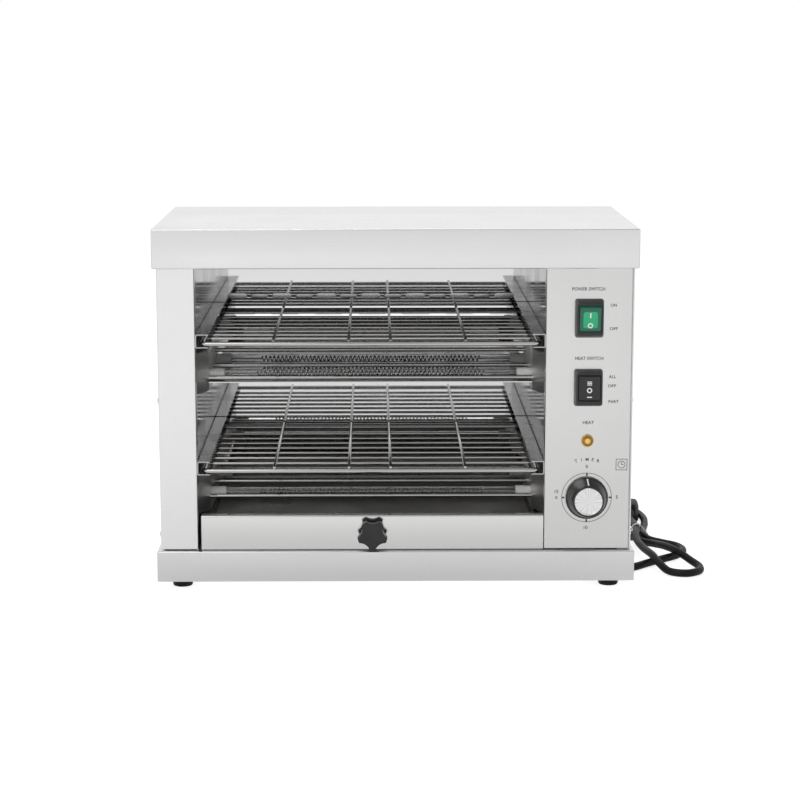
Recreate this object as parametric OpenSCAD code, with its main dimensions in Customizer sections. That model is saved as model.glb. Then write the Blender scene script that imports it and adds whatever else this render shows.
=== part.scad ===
// Countertop cheese melter: an open-fronted sheet-steel cabinet with two sliding wire
// racks, three banks of quartz tube heaters, a crumb tray, two rocker switches,
// a pilot lamp, a mechanical timer and a tied mains lead.
// Millimetres. X to the right, Y to the back, Z up from the table top.
// Every module below is drawn with Y counted from the front face of the top cover,
// and from_front() moves it so that the origin is the middle of the footprint.

/* [Case] */
// Width of the top cover and of the base plinth
case_w = 450; // [430:2:470]
// Depth of the top cover and of the base plinth
case_d = 246; // [240:2:270]
// Height from the table top to the top of the cover
case_h = 342; // [336:1:352]
// Thickness of the sheet steel
sheet = 1; // [0.8:0.1:1.2]
// Height of the top cover
cover_h = 37; // [30:1:40]
// How far the body front stands behind the cover front
body_front = 6; // [4:0.5:8]
// How far each body side stands inside the cover side
body_side = 3.5; // [3:0.5:4.5]

/* [Base] */
// Height of the rubber feet
foot_h = 9; // [8:0.5:12]
// Diameter of a foot where it meets the base
foot_top_d = 21; // [19:1:24]
// Diameter of a foot on the table
foot_low_d = 18.5; // [16:0.5:19]
// Distance of a foot's centre from the case side
foot_in_x = 22; // [18:1:30]
// Distance of a foot's centre from the case front and back
foot_in_d = 24; // [18:1:30]
// Height of the base plinth
plinth_h = 29; // [25:1:32]

/* [Front] */
// Width of the plain column left of the chamber
column_w = 35; // [32:1:38]
// Width of the control panel right of the chamber
panel_w = 82; // [80:1:86]
// Dark gap between the plinth and the front sheets
base_gap = 1; // [0.5:0.1:1.5]
// Seam between the control panel and the right side panel
side_seam = 0.6; // [0.4:0.1:1]

/* [Racks] */
// Distance of the lower rack's frame wire above the lower heater bank
lower_rack_rise = 29.5; // [29:0.5:32]
// Distance of the upper rack's frame wire below the top cover
upper_rack_drop = 71; // [68:0.5:73]
// Diameter of a rack's frame wire
frame_wire = 5; // [4.5:0.5:5.5]
// Diameter of a rack's cross wires
thin_wire = 3; // [2.5:0.5:3]
// Number of thin wires from side to side
row_wires = 8; // [6:1:8]
// Distance from the frame's front wire to the first of those wires
first_row_in = 35.5; // [30:0.5:40]
// Distance between the thin wires, except at the rear
row_pitch = 24.7; // [23:0.1:24.9]
// Distance from the last of those wires to the frame's rear wire
last_row_in = 8; // [7:0.5:12]

/* [Crumb tray] */
// Height of the tray's front plate
tray_front_h = 33; // [30:1:34]
// Height of the tray's pan
pan_h = 16.5; // [14:0.5:20]
// Diameter over the lobes of the tray knob
knob_d = 28; // [25:1:30]
// How far the tray knob stands out of the body front
knob_reach = 25; // [22:1:28]

/* [Heaters] */
// Distance of the lower heater bank above the base plinth
lower_heat_rise = 46; // [44:0.5:47]
// Distance of the middle heater bank below the upper rack
middle_heat_drop = 35; // [32:0.5:37]
// Distance of the top heater bank below the chamber roof
top_heat_drop = 17; // [15:0.5:19]
// Depth of the front tube of each bank
front_tube_d = 55; // [52:1:58]
// Distance from the front tube to the rear tube
tube_pitch = 92; // [88:1:94]
// Outside diameter of a quartz tube
tube_d = 8.4; // [8:0.2:8.8]
// Length of the hot part of a heating coil
coil_len = 216; // [180:4:230]
// Diameter of a guard rod
guard_d = 4; // [3:0.5:4]

/* [Controls] */
// Distance of the switches, lamp and timer from the right body side
control_x = 42; // [40:0.5:43]
// Place of the power switch, as a share of the way up the control panel
power_share = 0.827; // [0.815:0.001:0.84]
// Place of the heat switch, as a share of the way up the control panel
heat_share = 0.583; // [0.57:0.001:0.6]
// Place of the pilot lamp, as a share of the way up the control panel
lamp_share = 0.389; // [0.375:0.001:0.4]
// Place of the timer, as a share of the way up the control panel
timer_share = 0.184; // [0.17:0.001:0.2]
// Width of a switch bezel on the panel
bezel_w = 26.5; // [26:0.5:29]
// Height of the power switch bezel on the panel
power_bezel_h = 34.5; // [33:0.5:36]
// Height of the heat switch bezel on the panel
heat_bezel_h = 32.5; // [31.5:0.5:36]
// How far a switch bezel stands out of the panel
bezel_out = 12; // [11:0.5:14]
// Half of the angle through which a rocker tips
rocker_tilt = 10; // [8:1:10]
// Diameter of the timer knob's skirt
timer_knob_d = 40; // [36:1:42]
// How far the timer knob stands out of the panel
timer_out = 20; // [18:0.5:21]

/* [Mains lead] */
// Diameter of the mains cord
cord_d = 7.6; // [7.4:0.1:7.6]
// Distance of the cord outlet from the right side of the case
outlet_in = 29; // [27:1:32]
// Height of the cord outlet
outlet_z = 52; // [50:1:60]

/* [Hidden] */

$fn = 48;

// Small clearances that recur
slide_gap = 0.5;   // between a sliding piece and what carries it
turn_gap = 0.08;   // radial, round a turning shaft or pin
hole_gap = 0.1;    // radial, round a fixed piece in its hole

// Levels and planes
deck_z = foot_h + plinth_h;
cover_z = case_h - cover_h;
under_cover_z = case_h - sheet;
body_mid_z = (deck_z + under_cover_z) / 2;
roof_z = case_h - 12;
half_w = case_w / 2;
outlet_x = half_w - outlet_in;
body_x = half_w - body_side;
back_in = case_d - 3;
return_end = body_front + 14;
flange_w = 12;
front_y = (knob_reach - body_front - case_d) / 2;

// The chamber between the column and the control panel
left_x = column_w - body_x;
right_x = body_x - panel_w;

// Racks and their rails
rail_w = 12;
rail_low = frame_wire / 2 + 0.3;
rail_high = 8.2;
rack_gap = 3.7;
rack_left = left_x + rack_gap;
rack_right = right_x - rack_gap;
rack_mid = (rack_left + rack_right) / 2 - 1;
rack_front = body_front + 1.5;
rack_back = case_d - 7.5;
rack_corner = 5;
lower_rack_z = deck_z + lower_heat_rise + lower_rack_rise;
upper_rack_z = cover_z - upper_rack_drop;
inner_cross = 19.5;
outer_cross = 89.7;

// Crumb tray
tray_left = left_x + 3.3;
tray_right = right_x - 0.5;
tray_z = deck_z + slide_gap;
tray_mid = (tray_left + tray_right) / 2;
knob_z = tray_z + 18.5;

// Heaters
lower_heat_z = deck_z + lower_heat_rise;
middle_heat_z = upper_rack_z - middle_heat_drop;
top_heat_z = roof_z - top_heat_drop;
rear_tube_d = front_tube_d + tube_pitch;
housing_bulge = 10;
cap_d = 10.4;
cap_show = 14;
cap_outside = 8.5;
cap_bore_depth = 7;
coil_d = 5;
lead_d = 1.6;
housing_d = [front_tube_d - 30, front_tube_d - 10, rear_tube_d + 18, rear_tube_d + 43];
housing_below = 16;
housing_above = 24;
guard_spots = [
  [front_tube_d - 6.4, -3], [front_tube_d + 39, 1.6], [rear_tube_d - 22, 12]
];
reflector_z = middle_heat_z - 6.8;

// Controls
control_mid = body_x - control_x;
panel_low = deck_z + base_gap;
power_z = panel_low + power_share * (cover_z - panel_low);
heat_z = panel_low + heat_share * (cover_z - panel_low);
lamp_z = panel_low + lamp_share * (cover_z - panel_low);
timer_z = panel_low + timer_share * (cover_z - panel_low);
rocker_w = 19.7;
rocker_half = 11.1;
rocker_face = 5;
rocker_r = sqrt(rocker_half * rocker_half + rocker_face * rocker_face);
pivot_d = body_front - 8;
window_w = rocker_w + 0.7;
window_h = 2 * (rocker_r + 0.4);
switch_w = 22.4;
switch_h = 30;
switch_back = body_front + 24;
pin_d = 3;
lamp_d = 12;
lamp_body_d = 9;
shaft_d = 6;
bushing_d = 10;
timer_size = 48;
timer_depth = 38;
timer_cap_d = 27;

// Back panel slots
slot_z = upper_rack_z - 7;
slot_pitch = 45.3;
slot_w = 19;
slot_count = 6;
slot_mid = (left_x + right_x) / 2 + 1.5;
slot_first = slot_mid - (slot_count - 1) / 2 * slot_pitch;
slit_w = 278;
pad_pitch = 46.1;

// Mains lead: the middle of the cord, counted from the rear right corner of the case
cord_route = [
  [-outlet_in, -10, outlet_z], [-outlet_in, 40, outlet_z],
  [-33, 66, 46], [-44, 84, 32], [-58, 84, 16], [-66, 64, 7.6],
  [-68, 36, 5], [-68, 0, 4.1], [-68, -60, 3.95], [-66, -140, 3.9], [-57, -172, 3.9],
  [-37, -187, 3.9], [-12, -186, 3.9], [9, -175, 3.9], [24, -160, 3.9], [42, -143, 3.9],
  [58, -127, 3.9], [66, -108, 3.9], [62, -90, 3.9], [50, -77, 3.9], [39, -66, 4.3],
  [33.4, -50, 4.9], [36.5, -20, 4.4], [42, 10, 4], [43.2, 44, 3.9], [34, 74, 3.9],
  [9, 85, 3.9], [-14, 70, 3.9], [-14, 38, 3.9], [2, 8, 4.1], [15, -22, 4.6], [22, -50, 4.9],
  [28.5, -76, 5.2], [37.5, -100, 8.8], [46.5, -124, 11.8], [56, -145, 11.4], [66, -161, 6.8],
  [72.4, -176, 4.4], [70.2, -191, 4], [56.3, -201, 4], [41, -195.5, 4.5], [33, -180, 8.4],
  [28.5, -162, 12], [23, -134, 12.6], [20.5, -100, 12.7], [22, -74, 12.8], [26, -50, 12.8],
  [25, -20, 12.4], [23.5, 4, 11.6]];
cord_sides = 10;
cord_steps = 2;
relief_len = 37;
tie_d = -50;
tie_w = 4;
tie_wall = 0.9;
tie_x = [17.4, 38];
tie_z = [0.95, 17];
plug_yaw = -3;
plug_gap = 0.3;
plug_boot = 16;
plug_len = 30;
plug_w = 26;
plug_h = 22;
blade_gap = 12.7;

// ---------------------------------------------------------------- helpers

// Moves a piece from "Y counted from the cover front" into the part's frame
module from_front() {
  translate([0, front_y, 0]) children();
}

// Block between two corners, each axis given as [low, high]
module block(x, d, z) {
  translate([x[0], d[0], z[0]])
    cube([x[1] - x[0], d[1] - d[0], z[1] - z[0]]);
}

// Round bar along X
module bar_x(x, d, z, dia) {
  translate([x[0], d, z]) rotate([0, 90, 0]) cylinder(d = dia, h = x[1] - x[0]);
}

// Round bar along Y
module bar_d(x, d, z, dia) {
  translate([x, d[0], z]) rotate([-90, 0, 0]) cylinder(d = dia, h = d[1] - d[0]);
}

// Shallow rectangular tray of sheet with its floor at z[0], open upwards
module sheet_tray(x, d, z) {
  difference() {
    block(x, d, z);
    block([x[0] + sheet, x[1] - sheet], [d[0] + sheet, d[1] - sheet], [z[0] + sheet, z[1] + 1]);
  }
}

// The same tray upside down, with its plate at z[1]
module sheet_lid(x, d, z) {
  difference() {
    block(x, d, z);
    block([x[0] + sheet, x[1] - sheet], [d[0] + sheet, d[1] - sheet], [z[0] - 1, z[1] - sheet]);
  }
}

// Places of the four feet
module at_feet() {
  for (x = [foot_in_x - half_w, half_w - foot_in_x], d = [foot_in_d, case_d - foot_in_d])
    translate([x, d, 0]) children();
}

// Places of the side screws, on the right side
module at_side_screws() {
  for (d = [body_front + 12, back_in - 20], z = [deck_z + 13.3, body_mid_z - 10])
    translate([body_x, d, z]) rotate([0, 90, 0]) children();
}

// Places of the back panel screws, on the back face
module at_back_screws() {
  for (side = [-1, 1], z = [deck_z + 22, body_mid_z, under_cover_z - 40])
    translate([side * (body_x - flange_w / 2), back_in + sheet, z]) rotate([-90, 0, 0]) children();
}

// ---------------------------------------------------------------- case

// Folded lid that closes the top of the case
module top_cover() {
  color("gainsboro") from_front()
    sheet_lid([-half_w, half_w], [0, case_d], [cover_z, case_h]);
}

// Folded side with the front column and its return to the chamber
module left_side_panel() {
  full = [deck_z, under_cover_z];
  color("gainsboro") from_front() difference() {
    union() {
      block([-body_x, sheet - body_x], [body_front, back_in], full);
      block([-body_x, left_x], [body_front, body_front + sheet], full);
      block([left_x - sheet, left_x], [body_front, return_end], full);
      block([-body_x, flange_w - body_x], [back_in - sheet, back_in], full);
    }
    block([3 - body_x, left_x + 1], [body_front - 1, body_front + sheet + 1],
          [deck_z - 1, panel_low]);
    mirror([1, 0, 0]) at_side_screws() cylinder(d = 4.2, h = 4, center = true);
    at_back_screws() cylinder(d = 3.2, h = 6, center = true);
  }
}

// Folded side with a flange behind the control panel
module right_side_panel() {
  full = [deck_z, under_cover_z];
  color("gainsboro") from_front() difference() {
    union() {
      block([body_x - sheet, body_x], [body_front, back_in], full);
      block([body_x - flange_w, body_x], [body_front + sheet, body_front + 2 * sheet], full);
      block([body_x - flange_w, body_x], [back_in - sheet, back_in], full);
    }
    at_side_screws() cylinder(d = 4.2, h = 4, center = true);
    at_back_screws() cylinder(d = 3.2, h = 6, center = true);
  }
}

// Front sheet that carries the switches, the lamp and the timer
module control_panel() {
  panel_right = body_x - sheet - side_seam;
  color("silver") from_front() difference() {
    union() {
      block([right_x, panel_right], [body_front, body_front + sheet], [panel_low, under_cover_z]);
      block([right_x, right_x + sheet], [body_front, return_end], [deck_z, under_cover_z]);
    }
    for (z = [power_z, heat_z])
      translate([control_mid - switch_w / 2 - hole_gap, body_front - 1, z - switch_h / 2 - hole_gap])
        cube([switch_w + 2 * hole_gap, sheet + 2, switch_h + 2 * hole_gap]);
    bar_d(control_mid, [body_front - 1, body_front + sheet + 1], lamp_z, lamp_body_d + 2 * hole_gap);
    bar_d(control_mid, [body_front - 1, body_front + sheet + 1], timer_z, bushing_d + 2 * hole_gap);
  }
}

// One slot of the back panel, with slanting ends
module vent_slot() {
  polygon([
    [-slot_w / 2, 0], [slot_w / 2, 0], [slot_w / 2, 2], [slot_w / 2 - 3, 6.3],
    [3 - slot_w / 2, 6.3], [-slot_w / 2, 2]
  ]);
}

// Back of the case and of the chamber, with a row of vent slots over the upper rack
module back_panel() {
  color("lightgrey") from_front() difference() {
    union() {
      block([-body_x, body_x], [back_in, back_in + sheet], [deck_z, under_cover_z]);
      for (i = [0 : slot_count])
        translate([slot_mid - 1.5 + (i - slot_count / 2) * pad_pitch, back_in, slot_z + 22.8])
          rotate([90, 0, 0]) linear_extrude(0.6) square([20, 5.6], center = true);
    }
    translate([0, back_in + sheet + 1, slot_z]) rotate([90, 0, 0]) linear_extrude(sheet + 2) {
      for (i = [0 : slot_count - 1])
        translate([slot_first + i * slot_pitch, 0]) vent_slot();
      translate([slot_mid - 2 - slit_w / 2, 1.5]) square([slit_w, 1.6]);
    }
    bar_d(outlet_x, [back_in - 1, back_in + sheet + 1], outlet_z, 12);
    at_back_screws() cylinder(d = 3.8, h = 6, center = true);
  }
}

// Folded base under the body, open downwards
module base_plinth() {
  color("lightgrey") from_front()
    sheet_lid([-half_w, half_w], [0, case_d], [foot_h, deck_z]);
}

// Shallow tray that closes the base and carries the feet
module bottom_plate() {
  inner = half_w - sheet;
  color("silver") from_front() difference() {
    sheet_tray([-inner, inner], [sheet, case_d - sheet], [foot_h, foot_h + 10]);
    at_feet() translate([0, 0, foot_h - 1]) cylinder(d = 4.2, h = sheet + 2);
  }
}

// Tapered feet with a recess for the screw head
module rubber_feet() {
  color("#222222") from_front() at_feet() difference() {
    cylinder(d1 = foot_low_d, d2 = foot_top_d, h = foot_h);
    translate([0, 0, -1]) cylinder(d = 9, h = 5);
    cylinder(d = 4.2, h = foot_h + 1);
  }
}

// Pan-head screws that hold the feet
module foot_screws() {
  color("silver") from_front() at_feet() {
    translate([0, 0, 1.6]) cylinder(d = 7.6, h = 2.4);
    translate([0, 0, 3]) cylinder(d = 4, h = foot_h + 3);
  }
}

// ---------------------------------------------------------------- chamber

// Holes for the tube caps in a chamber wall at x
module cap_holes(x) {
  for (d = [front_tube_d, rear_tube_d], z = [lower_heat_z, middle_heat_z, top_heat_z])
    bar_x([x - 3, x + 3], d, z, cap_d + 2 * hole_gap);
}

// Chamber wall from wall_x outwards, where side is -1 for left and 1 for right
module inner_wall(wall_x, side) {
  mirror_x = side < 0 ? 1 : 0;
  difference() {
    translate([wall_x, 0, 0]) mirror([mirror_x, 0, 0]) {
      block([0, sheet], [return_end, back_in], [deck_z, roof_z]);
      block([0, flange_w], [back_in - sheet, back_in], [deck_z, roof_z]);
    }
    cap_holes(wall_x + side * sheet / 2);
  }
}

module left_inner_wall() {
  color("darkgrey") from_front() inner_wall(left_x, -1);
}

module right_inner_wall() {
  color("darkgrey") from_front() inner_wall(right_x, 1);
}

// Plate over the top heater bank, with a lip behind the cover front
module chamber_roof() {
  thick = [roof_z, roof_z + sheet];
  color("darkgrey") from_front() {
    block([left_x + hole_gap, right_x - hole_gap], [body_front + 2 * sheet, return_end], thick);
    block([left_x - flange_w, right_x + flange_w], [return_end, back_in], thick);
    block([left_x + 1, right_x - 1], [body_front + 2 * sheet, body_front + 3 * sheet],
          [cover_z + 2, roof_z + sheet]);
  }
}

// Channel open towards the chamber; side is -1 for left and 1 for right
module rail(wall_x, rack_z, side) {
  mirror_x = side > 0 ? 1 : 0;
  d = [body_front + 2, case_d - 6];
  low = rack_z - rail_low - sheet;
  high = rack_z + rail_high + sheet;
  color("silver") from_front() translate([wall_x, 0, 0]) mirror([mirror_x, 0, 0]) {
    block([0, sheet], d, [low, high]);
    block([0, rail_w], d, [low, low + sheet]);
    block([0, rail_w], d, [high - sheet, high]);
  }
}

module upper_left_rail() {
  rail(left_x, upper_rack_z, -1);
}

module upper_right_rail() {
  rail(right_x, upper_rack_z, 1);
}

module lower_left_rail() {
  rail(left_x, lower_rack_z, -1);
}

module lower_right_rail() {
  rail(right_x, lower_rack_z, 1);
}

// Quarter of a bent corner of the rack's frame wire
module rack_bend(x, d, turn) {
  translate([x, d, 0]) rotate([0, 0, turn])
    rotate_extrude(angle = 90) translate([rack_corner, 0]) circle(d = frame_wire, $fn = 24);
}

// Wire rack: a bent frame, thin wires across it and four thin wires on top
module rack(z) {
  r = frame_wire / 2;
  x = [rack_left + r, rack_right - r];
  d = [rack_front + r, rack_back - r];
  first_row = d[0] + first_row_in;
  rows = [for (i = [0 : row_wires - 2]) first_row + i * row_pitch, d[1] - last_row_in];
  color("silver") from_front() translate([0, 0, z]) {
    for (row = d) bar_x([x[0] + rack_corner, x[1] - rack_corner], row, 0, frame_wire);
    for (col = x) bar_d(col, [d[0] + rack_corner, d[1] - rack_corner], 0, frame_wire);
    rack_bend(x[0] + rack_corner, d[0] + rack_corner, 180);
    rack_bend(x[1] - rack_corner, d[0] + rack_corner, 270);
    rack_bend(x[1] - rack_corner, d[1] - rack_corner, 0);
    rack_bend(x[0] + rack_corner, d[1] - rack_corner, 90);
    for (row = rows) bar_x(x, row, 0, thin_wire);
    for (offset = [-outer_cross, -inner_cross, inner_cross, outer_cross])
      bar_d(rack_mid + offset, d, thin_wire * 0.87, thin_wire);
  }
}

module upper_rack() {
  rack(upper_rack_z);
}

module lower_rack() {
  rack(lower_rack_z);
}

// Crumb tray: a pan behind a front plate with a folded top edge
module crumb_tray() {
  plate_top = tray_z + tray_front_h;
  color("silver") from_front() difference() {
    union() {
      block([tray_left, tray_right], [body_front, body_front + sheet], [tray_z, plate_top]);
      block([tray_left, tray_right], [body_front, body_front + 8], [plate_top - sheet, plate_top]);
      sheet_tray([tray_left + 2, tray_right - 2], [body_front + sheet / 2, back_in - 8],
                 [tray_z, tray_z + pan_h]);
    }
    bar_d(tray_mid, [body_front - 1, body_front + 3], knob_z, 4.2);
  }
}

// Five-lobed grip with its neck on the tray's front plate and one lobe straight down
module tray_knob() {
  front = body_front - knob_reach;
  lobe_d = 9;
  color("#1c1c1c") from_front() difference() {
    union() {
      bar_d(tray_mid, [front, front + 11], knob_z, knob_d - 7);
      bar_d(tray_mid, [front + 10, body_front], knob_z, 13);
      for (i = [0 : 4])
        translate([tray_mid, 0, knob_z]) rotate([0, i * 72 + 90, 0])
          bar_d((knob_d - lobe_d) / 2, [front + 1, front + 9.5], 0, lobe_d);
    }
    bar_d(tray_mid, [front + 7, body_front + 1], knob_z, 4 + 2 * turn_gap);
  }
}

// Screw from inside the tray into the knob
module tray_knob_screw() {
  color("silver") from_front() {
    bar_d(tray_mid, [body_front + 1.5 * sheet, body_front + 1.5 * sheet + 2.2], knob_z, 8);
    bar_d(tray_mid, [body_front - knob_reach + 9, body_front + 3], knob_z, 4);
  }
}

// ---------------------------------------------------------------- heaters

cap_left = left_x + housing_bulge + cap_show;
cap_right = right_x - housing_bulge - cap_show;
tube_ends = [cap_left - cap_bore_depth + 0.5, cap_right + cap_bore_depth - 0.5];

// Quartz tube
module quartz_tube(d, z) {
  color("white", 0.5) from_front() difference() {
    bar_x(tube_ends, d, z, tube_d);
    bar_x([tube_ends[0] - 1, tube_ends[1] + 1], d, z, tube_d - 2);
  }
}

// Heating coil as a hollow cylinder with closed ends, and its two straight leads
module heating_coil(d, z) {
  mid = (cap_left + cap_right) / 2;
  hot = [mid - coil_len / 2, mid + coil_len / 2];
  color("dimgray") from_front() {
    difference() {
      bar_x(hot, d, z, coil_d);
      bar_x([hot[0] + 1, hot[1] - 1], d, z, coil_d - 2);
    }
    bar_x([left_x - sheet - cap_outside - 4, hot[0] + 0.5], d, z, lead_d);
    bar_x([hot[1] - 0.5, right_x + sheet + cap_outside + 4], d, z, lead_d);
  }
}

// Ceramic caps on both ends of both tubes of one bank
module tube_caps(z) {
  bore = tube_d + 2 * hole_gap;
  color("ivory") from_front() for (d = [front_tube_d, rear_tube_d]) {
    difference() {
      bar_x([left_x - sheet - cap_outside, cap_left], d, z, cap_d);
      bar_x([cap_left - cap_bore_depth, cap_left + 1], d, z, bore);
      bar_x([left_x - 20, cap_left], d, z, lead_d + 2 * hole_gap);
    }
    difference() {
      bar_x([cap_right, right_x + sheet + cap_outside], d, z, cap_d);
      bar_x([cap_right - 1, cap_right + cap_bore_depth], d, z, bore);
      bar_x([cap_right, right_x + 20], d, z, lead_d + 2 * hole_gap);
    }
  }
}

module top_front_tube() {
  quartz_tube(front_tube_d, top_heat_z);
}

module top_rear_tube() {
  quartz_tube(rear_tube_d, top_heat_z);
}

module middle_front_tube() {
  quartz_tube(front_tube_d, middle_heat_z);
}

module middle_rear_tube() {
  quartz_tube(rear_tube_d, middle_heat_z);
}

module lower_front_tube() {
  quartz_tube(front_tube_d, lower_heat_z);
}

module lower_rear_tube() {
  quartz_tube(rear_tube_d, lower_heat_z);
}

module top_front_coil() {
  heating_coil(front_tube_d, top_heat_z);
}

module top_rear_coil() {
  heating_coil(rear_tube_d, top_heat_z);
}

module middle_front_coil() {
  heating_coil(front_tube_d, middle_heat_z);
}

module middle_rear_coil() {
  heating_coil(rear_tube_d, middle_heat_z);
}

module lower_front_coil() {
  heating_coil(front_tube_d, lower_heat_z);
}

module lower_rear_coil() {
  heating_coil(rear_tube_d, lower_heat_z);
}

module top_tube_caps() {
  tube_caps(top_heat_z);
}

module middle_tube_caps() {
  tube_caps(middle_heat_z);
}

module lower_tube_caps() {
  tube_caps(lower_heat_z);
}

// Three rods that keep food off the tubes, between the two housings
module guard_rods(z) {
  x = [left_x + housing_bulge - 3, right_x - housing_bulge + 3];
  color("silver") from_front() for (spot = guard_spots)
    bar_x(x, spot[0], z + spot[1], guard_d);
}

module middle_guard_rods() {
  guard_rods(middle_heat_z);
}

module lower_guard_rods() {
  guard_rods(lower_heat_z);
}

// Bulged sheet housing over the tube ends of one bank, on a wall at wall_x
module heater_housing(wall_x, side, z) {
  mirror_x = side > 0 ? 1 : 0;
  low = z - housing_below;
  tall = housing_below + housing_above;
  inside = housing_bulge - sheet;
  translate([wall_x, 0, 0]) mirror([mirror_x, 0, 0]) difference() {
    translate([0, 0, low]) linear_extrude(tall)
      polygon([[0, housing_d[0]], [housing_bulge, housing_d[1]],
               [housing_bulge, housing_d[2]], [0, housing_d[3]]]);
    translate([0, 0, low + sheet]) linear_extrude(tall - 2 * sheet)
      polygon([[-1, housing_d[0] + 2.5], [0, housing_d[0] + 2.5], [inside, housing_d[1] + 0.6],
               [inside, housing_d[2] - 0.6], [0, housing_d[3] - 2.5], [-1, housing_d[3] - 2.5]]);
    for (d = [front_tube_d, rear_tube_d])
      bar_x([housing_bulge - 2, housing_bulge + 1], d, z, cap_d + 2 * hole_gap);
    for (spot = guard_spots)
      bar_x([housing_bulge - 2, housing_bulge + 1], spot[0], z + spot[1], guard_d + 2 * hole_gap);
  }
}

module heater_housings() {
  color("silver") from_front() for (z = [lower_heat_z, middle_heat_z]) {
    heater_housing(left_x, -1, z);
    heater_housing(right_x, 1, z);
  }
}

// Plate under the middle tubes, from just behind the front guard rod to the back panel
module middle_reflector() {
  inside = housing_bulge + hole_gap;
  color("silver") from_front()
    block([left_x + inside, right_x - inside], [front_tube_d - 14, back_in - 0.1],
          [reflector_z, reflector_z + sheet]);
}

// ---------------------------------------------------------------- controls

// Switch body behind the panel, with a round pocket for the rocker and three terminals
module switch_body(z) {
  color("#262626") from_front() difference() {
    union() {
      block([control_mid - switch_w / 2, control_mid + switch_w / 2], [body_front, switch_back],
            [z - switch_h / 2, z + switch_h / 2]);
      for (offset = [-9, 0, 9])
        block([control_mid - 2.4, control_mid + 2.4], [switch_back, switch_back + 8],
              [z + offset - 0.4, z + offset + 0.4]);
    }
    bar_x([control_mid - window_w / 2, control_mid + window_w / 2], pivot_d, z, 2 * rocker_r + 0.8);
  }
}

// Bezel with four sloping sides, a window for the rocker and sockets for its pins
module switch_bezel(z, bezel_h) {
  out = body_front - bezel_out;
  low_w = bezel_w / 2;
  low_h = bezel_h / 2;
  top_w = window_w / 2 + 2;
  top_h = window_h / 2 + 1.5;
  color("#1c1c1c") from_front() difference() {
    intersection() {
      translate([control_mid, 0, z - low_h]) linear_extrude(bezel_h)
        polygon([[-low_w, body_front], [-low_w, body_front - 2], [-top_w, out], [top_w, out],
                 [low_w, body_front - 2], [low_w, body_front]]);
      translate([control_mid - low_w, 0, z]) rotate([90, 0, 90]) linear_extrude(bezel_w)
        polygon([[body_front, -low_h], [body_front - 2, -low_h], [out, -top_h], [out, top_h],
                 [body_front - 2, low_h], [body_front, low_h]]);
    }
    block([control_mid - window_w / 2, control_mid + window_w / 2], [out - 1, body_front + 1],
          [z - window_h / 2, z + window_h / 2]);
    bar_x([control_mid - rocker_w / 2 - 1.8, control_mid + rocker_w / 2 + 1.8], pivot_d, z,
          pin_d + 2 * turn_gap);
  }
}

// Rocker: a drum cut off flat, tipped by tilt about its pins
module rocker(z, tilt) {
  translate([control_mid, pivot_d, z]) rotate([tilt, 0, 0]) {
    difference() {
      bar_x([-rocker_w / 2, rocker_w / 2], 0, 0, 2 * rocker_r);
      block([-rocker_w, rocker_w], [-rocker_r - 1, -rocker_face], [-rocker_r - 1, rocker_r + 1]);
      block([-rocker_w / 2 + 2, rocker_w / 2 - 2], [-rocker_face + 4, rocker_r + 1], [-6, 6]);
    }
    bar_x([-rocker_w / 2 - 1.5, rocker_w / 2 + 1.5], 0, 0, pin_d);
  }
}

module power_switch_body() {
  switch_body(power_z);
}

module power_switch_bezel() {
  switch_bezel(power_z, power_bezel_h);
}

// Green rocker, resting in its OFF position with the lower end pressed in
module power_rocker() {
  color("limegreen") from_front() rocker(power_z, rocker_tilt);
}

module heat_switch_body() {
  switch_body(heat_z);
}

module heat_switch_bezel() {
  switch_bezel(heat_z, heat_bezel_h);
}

// Black rocker, resting in its middle OFF position
module heat_rocker() {
  color("#303030") from_front() rocker(heat_z, 0);
}

// Lamp holder behind the panel, with two terminals
module pilot_lamp_body() {
  color("dimgray") from_front() {
    bar_d(control_mid, [body_front, body_front + 26], lamp_z, lamp_body_d);
    for (offset = [-2.5, 2.5])
      block([control_mid - 1.2, control_mid + 1.2], [body_front + 25, body_front + 33],
            [lamp_z + offset - 0.4, lamp_z + offset + 0.4]);
  }
}

// Domed lens on a short flange
module pilot_lamp_lens() {
  color("goldenrod") from_front() translate([control_mid, body_front, lamp_z]) rotate([90, 0, 0]) {
    cylinder(d = lamp_d, h = 1.5);
    intersection() {
      translate([0, 0, -5]) sphere(r = 8.4);
      cylinder(d = lamp_d - 2, h = 6);
    }
  }
}

// Clockwork timer with a threaded bushing through the panel and two terminals
module timer_body() {
  half = timer_size / 2;
  back = body_front + sheet + timer_depth;
  color("#c8c0a8") from_front() difference() {
    union() {
      block([control_mid - half, control_mid + half], [body_front + sheet, back],
            [timer_z - half, timer_z + half]);
      bar_d(control_mid, [body_front, back - 2], timer_z, bushing_d);
      for (offset = [-10, 10])
        block([control_mid + offset - 3.1, control_mid + offset + 3.1], [back - 1, back + 8],
              [timer_z - 0.4, timer_z + 0.4]);
    }
    bar_d(control_mid, [body_front - 1, body_front + 22], timer_z, shaft_d + 2 * turn_gap);
  }
}

// Timer shaft
module timer_shaft() {
  color("silver") from_front()
    bar_d(control_mid, [body_front - timer_out + 5, body_front + 21], timer_z, shaft_d);
}

// Tapered knob with a round skirt and a shallow seat for its cap
module timer_knob() {
  top_d = timer_cap_d + 2.4;
  front = timer_out - 1;
  color("#141414") from_front() translate([control_mid, body_front, timer_z]) rotate([90, 0, 0])
    difference() {
      union() {
        translate([0, 0, 1]) cylinder(d = timer_knob_d, h = 2.5);
        translate([0, 0, 3.5]) cylinder(d1 = timer_knob_d - 2, d2 = top_d, h = front - 3.5);
      }
      translate([0, 0, front - 1]) cylinder(d = timer_cap_d + 0.2, h = 2);
      cylinder(d = shaft_d + 2 * turn_gap, h = timer_out - 5);
    }
}

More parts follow.
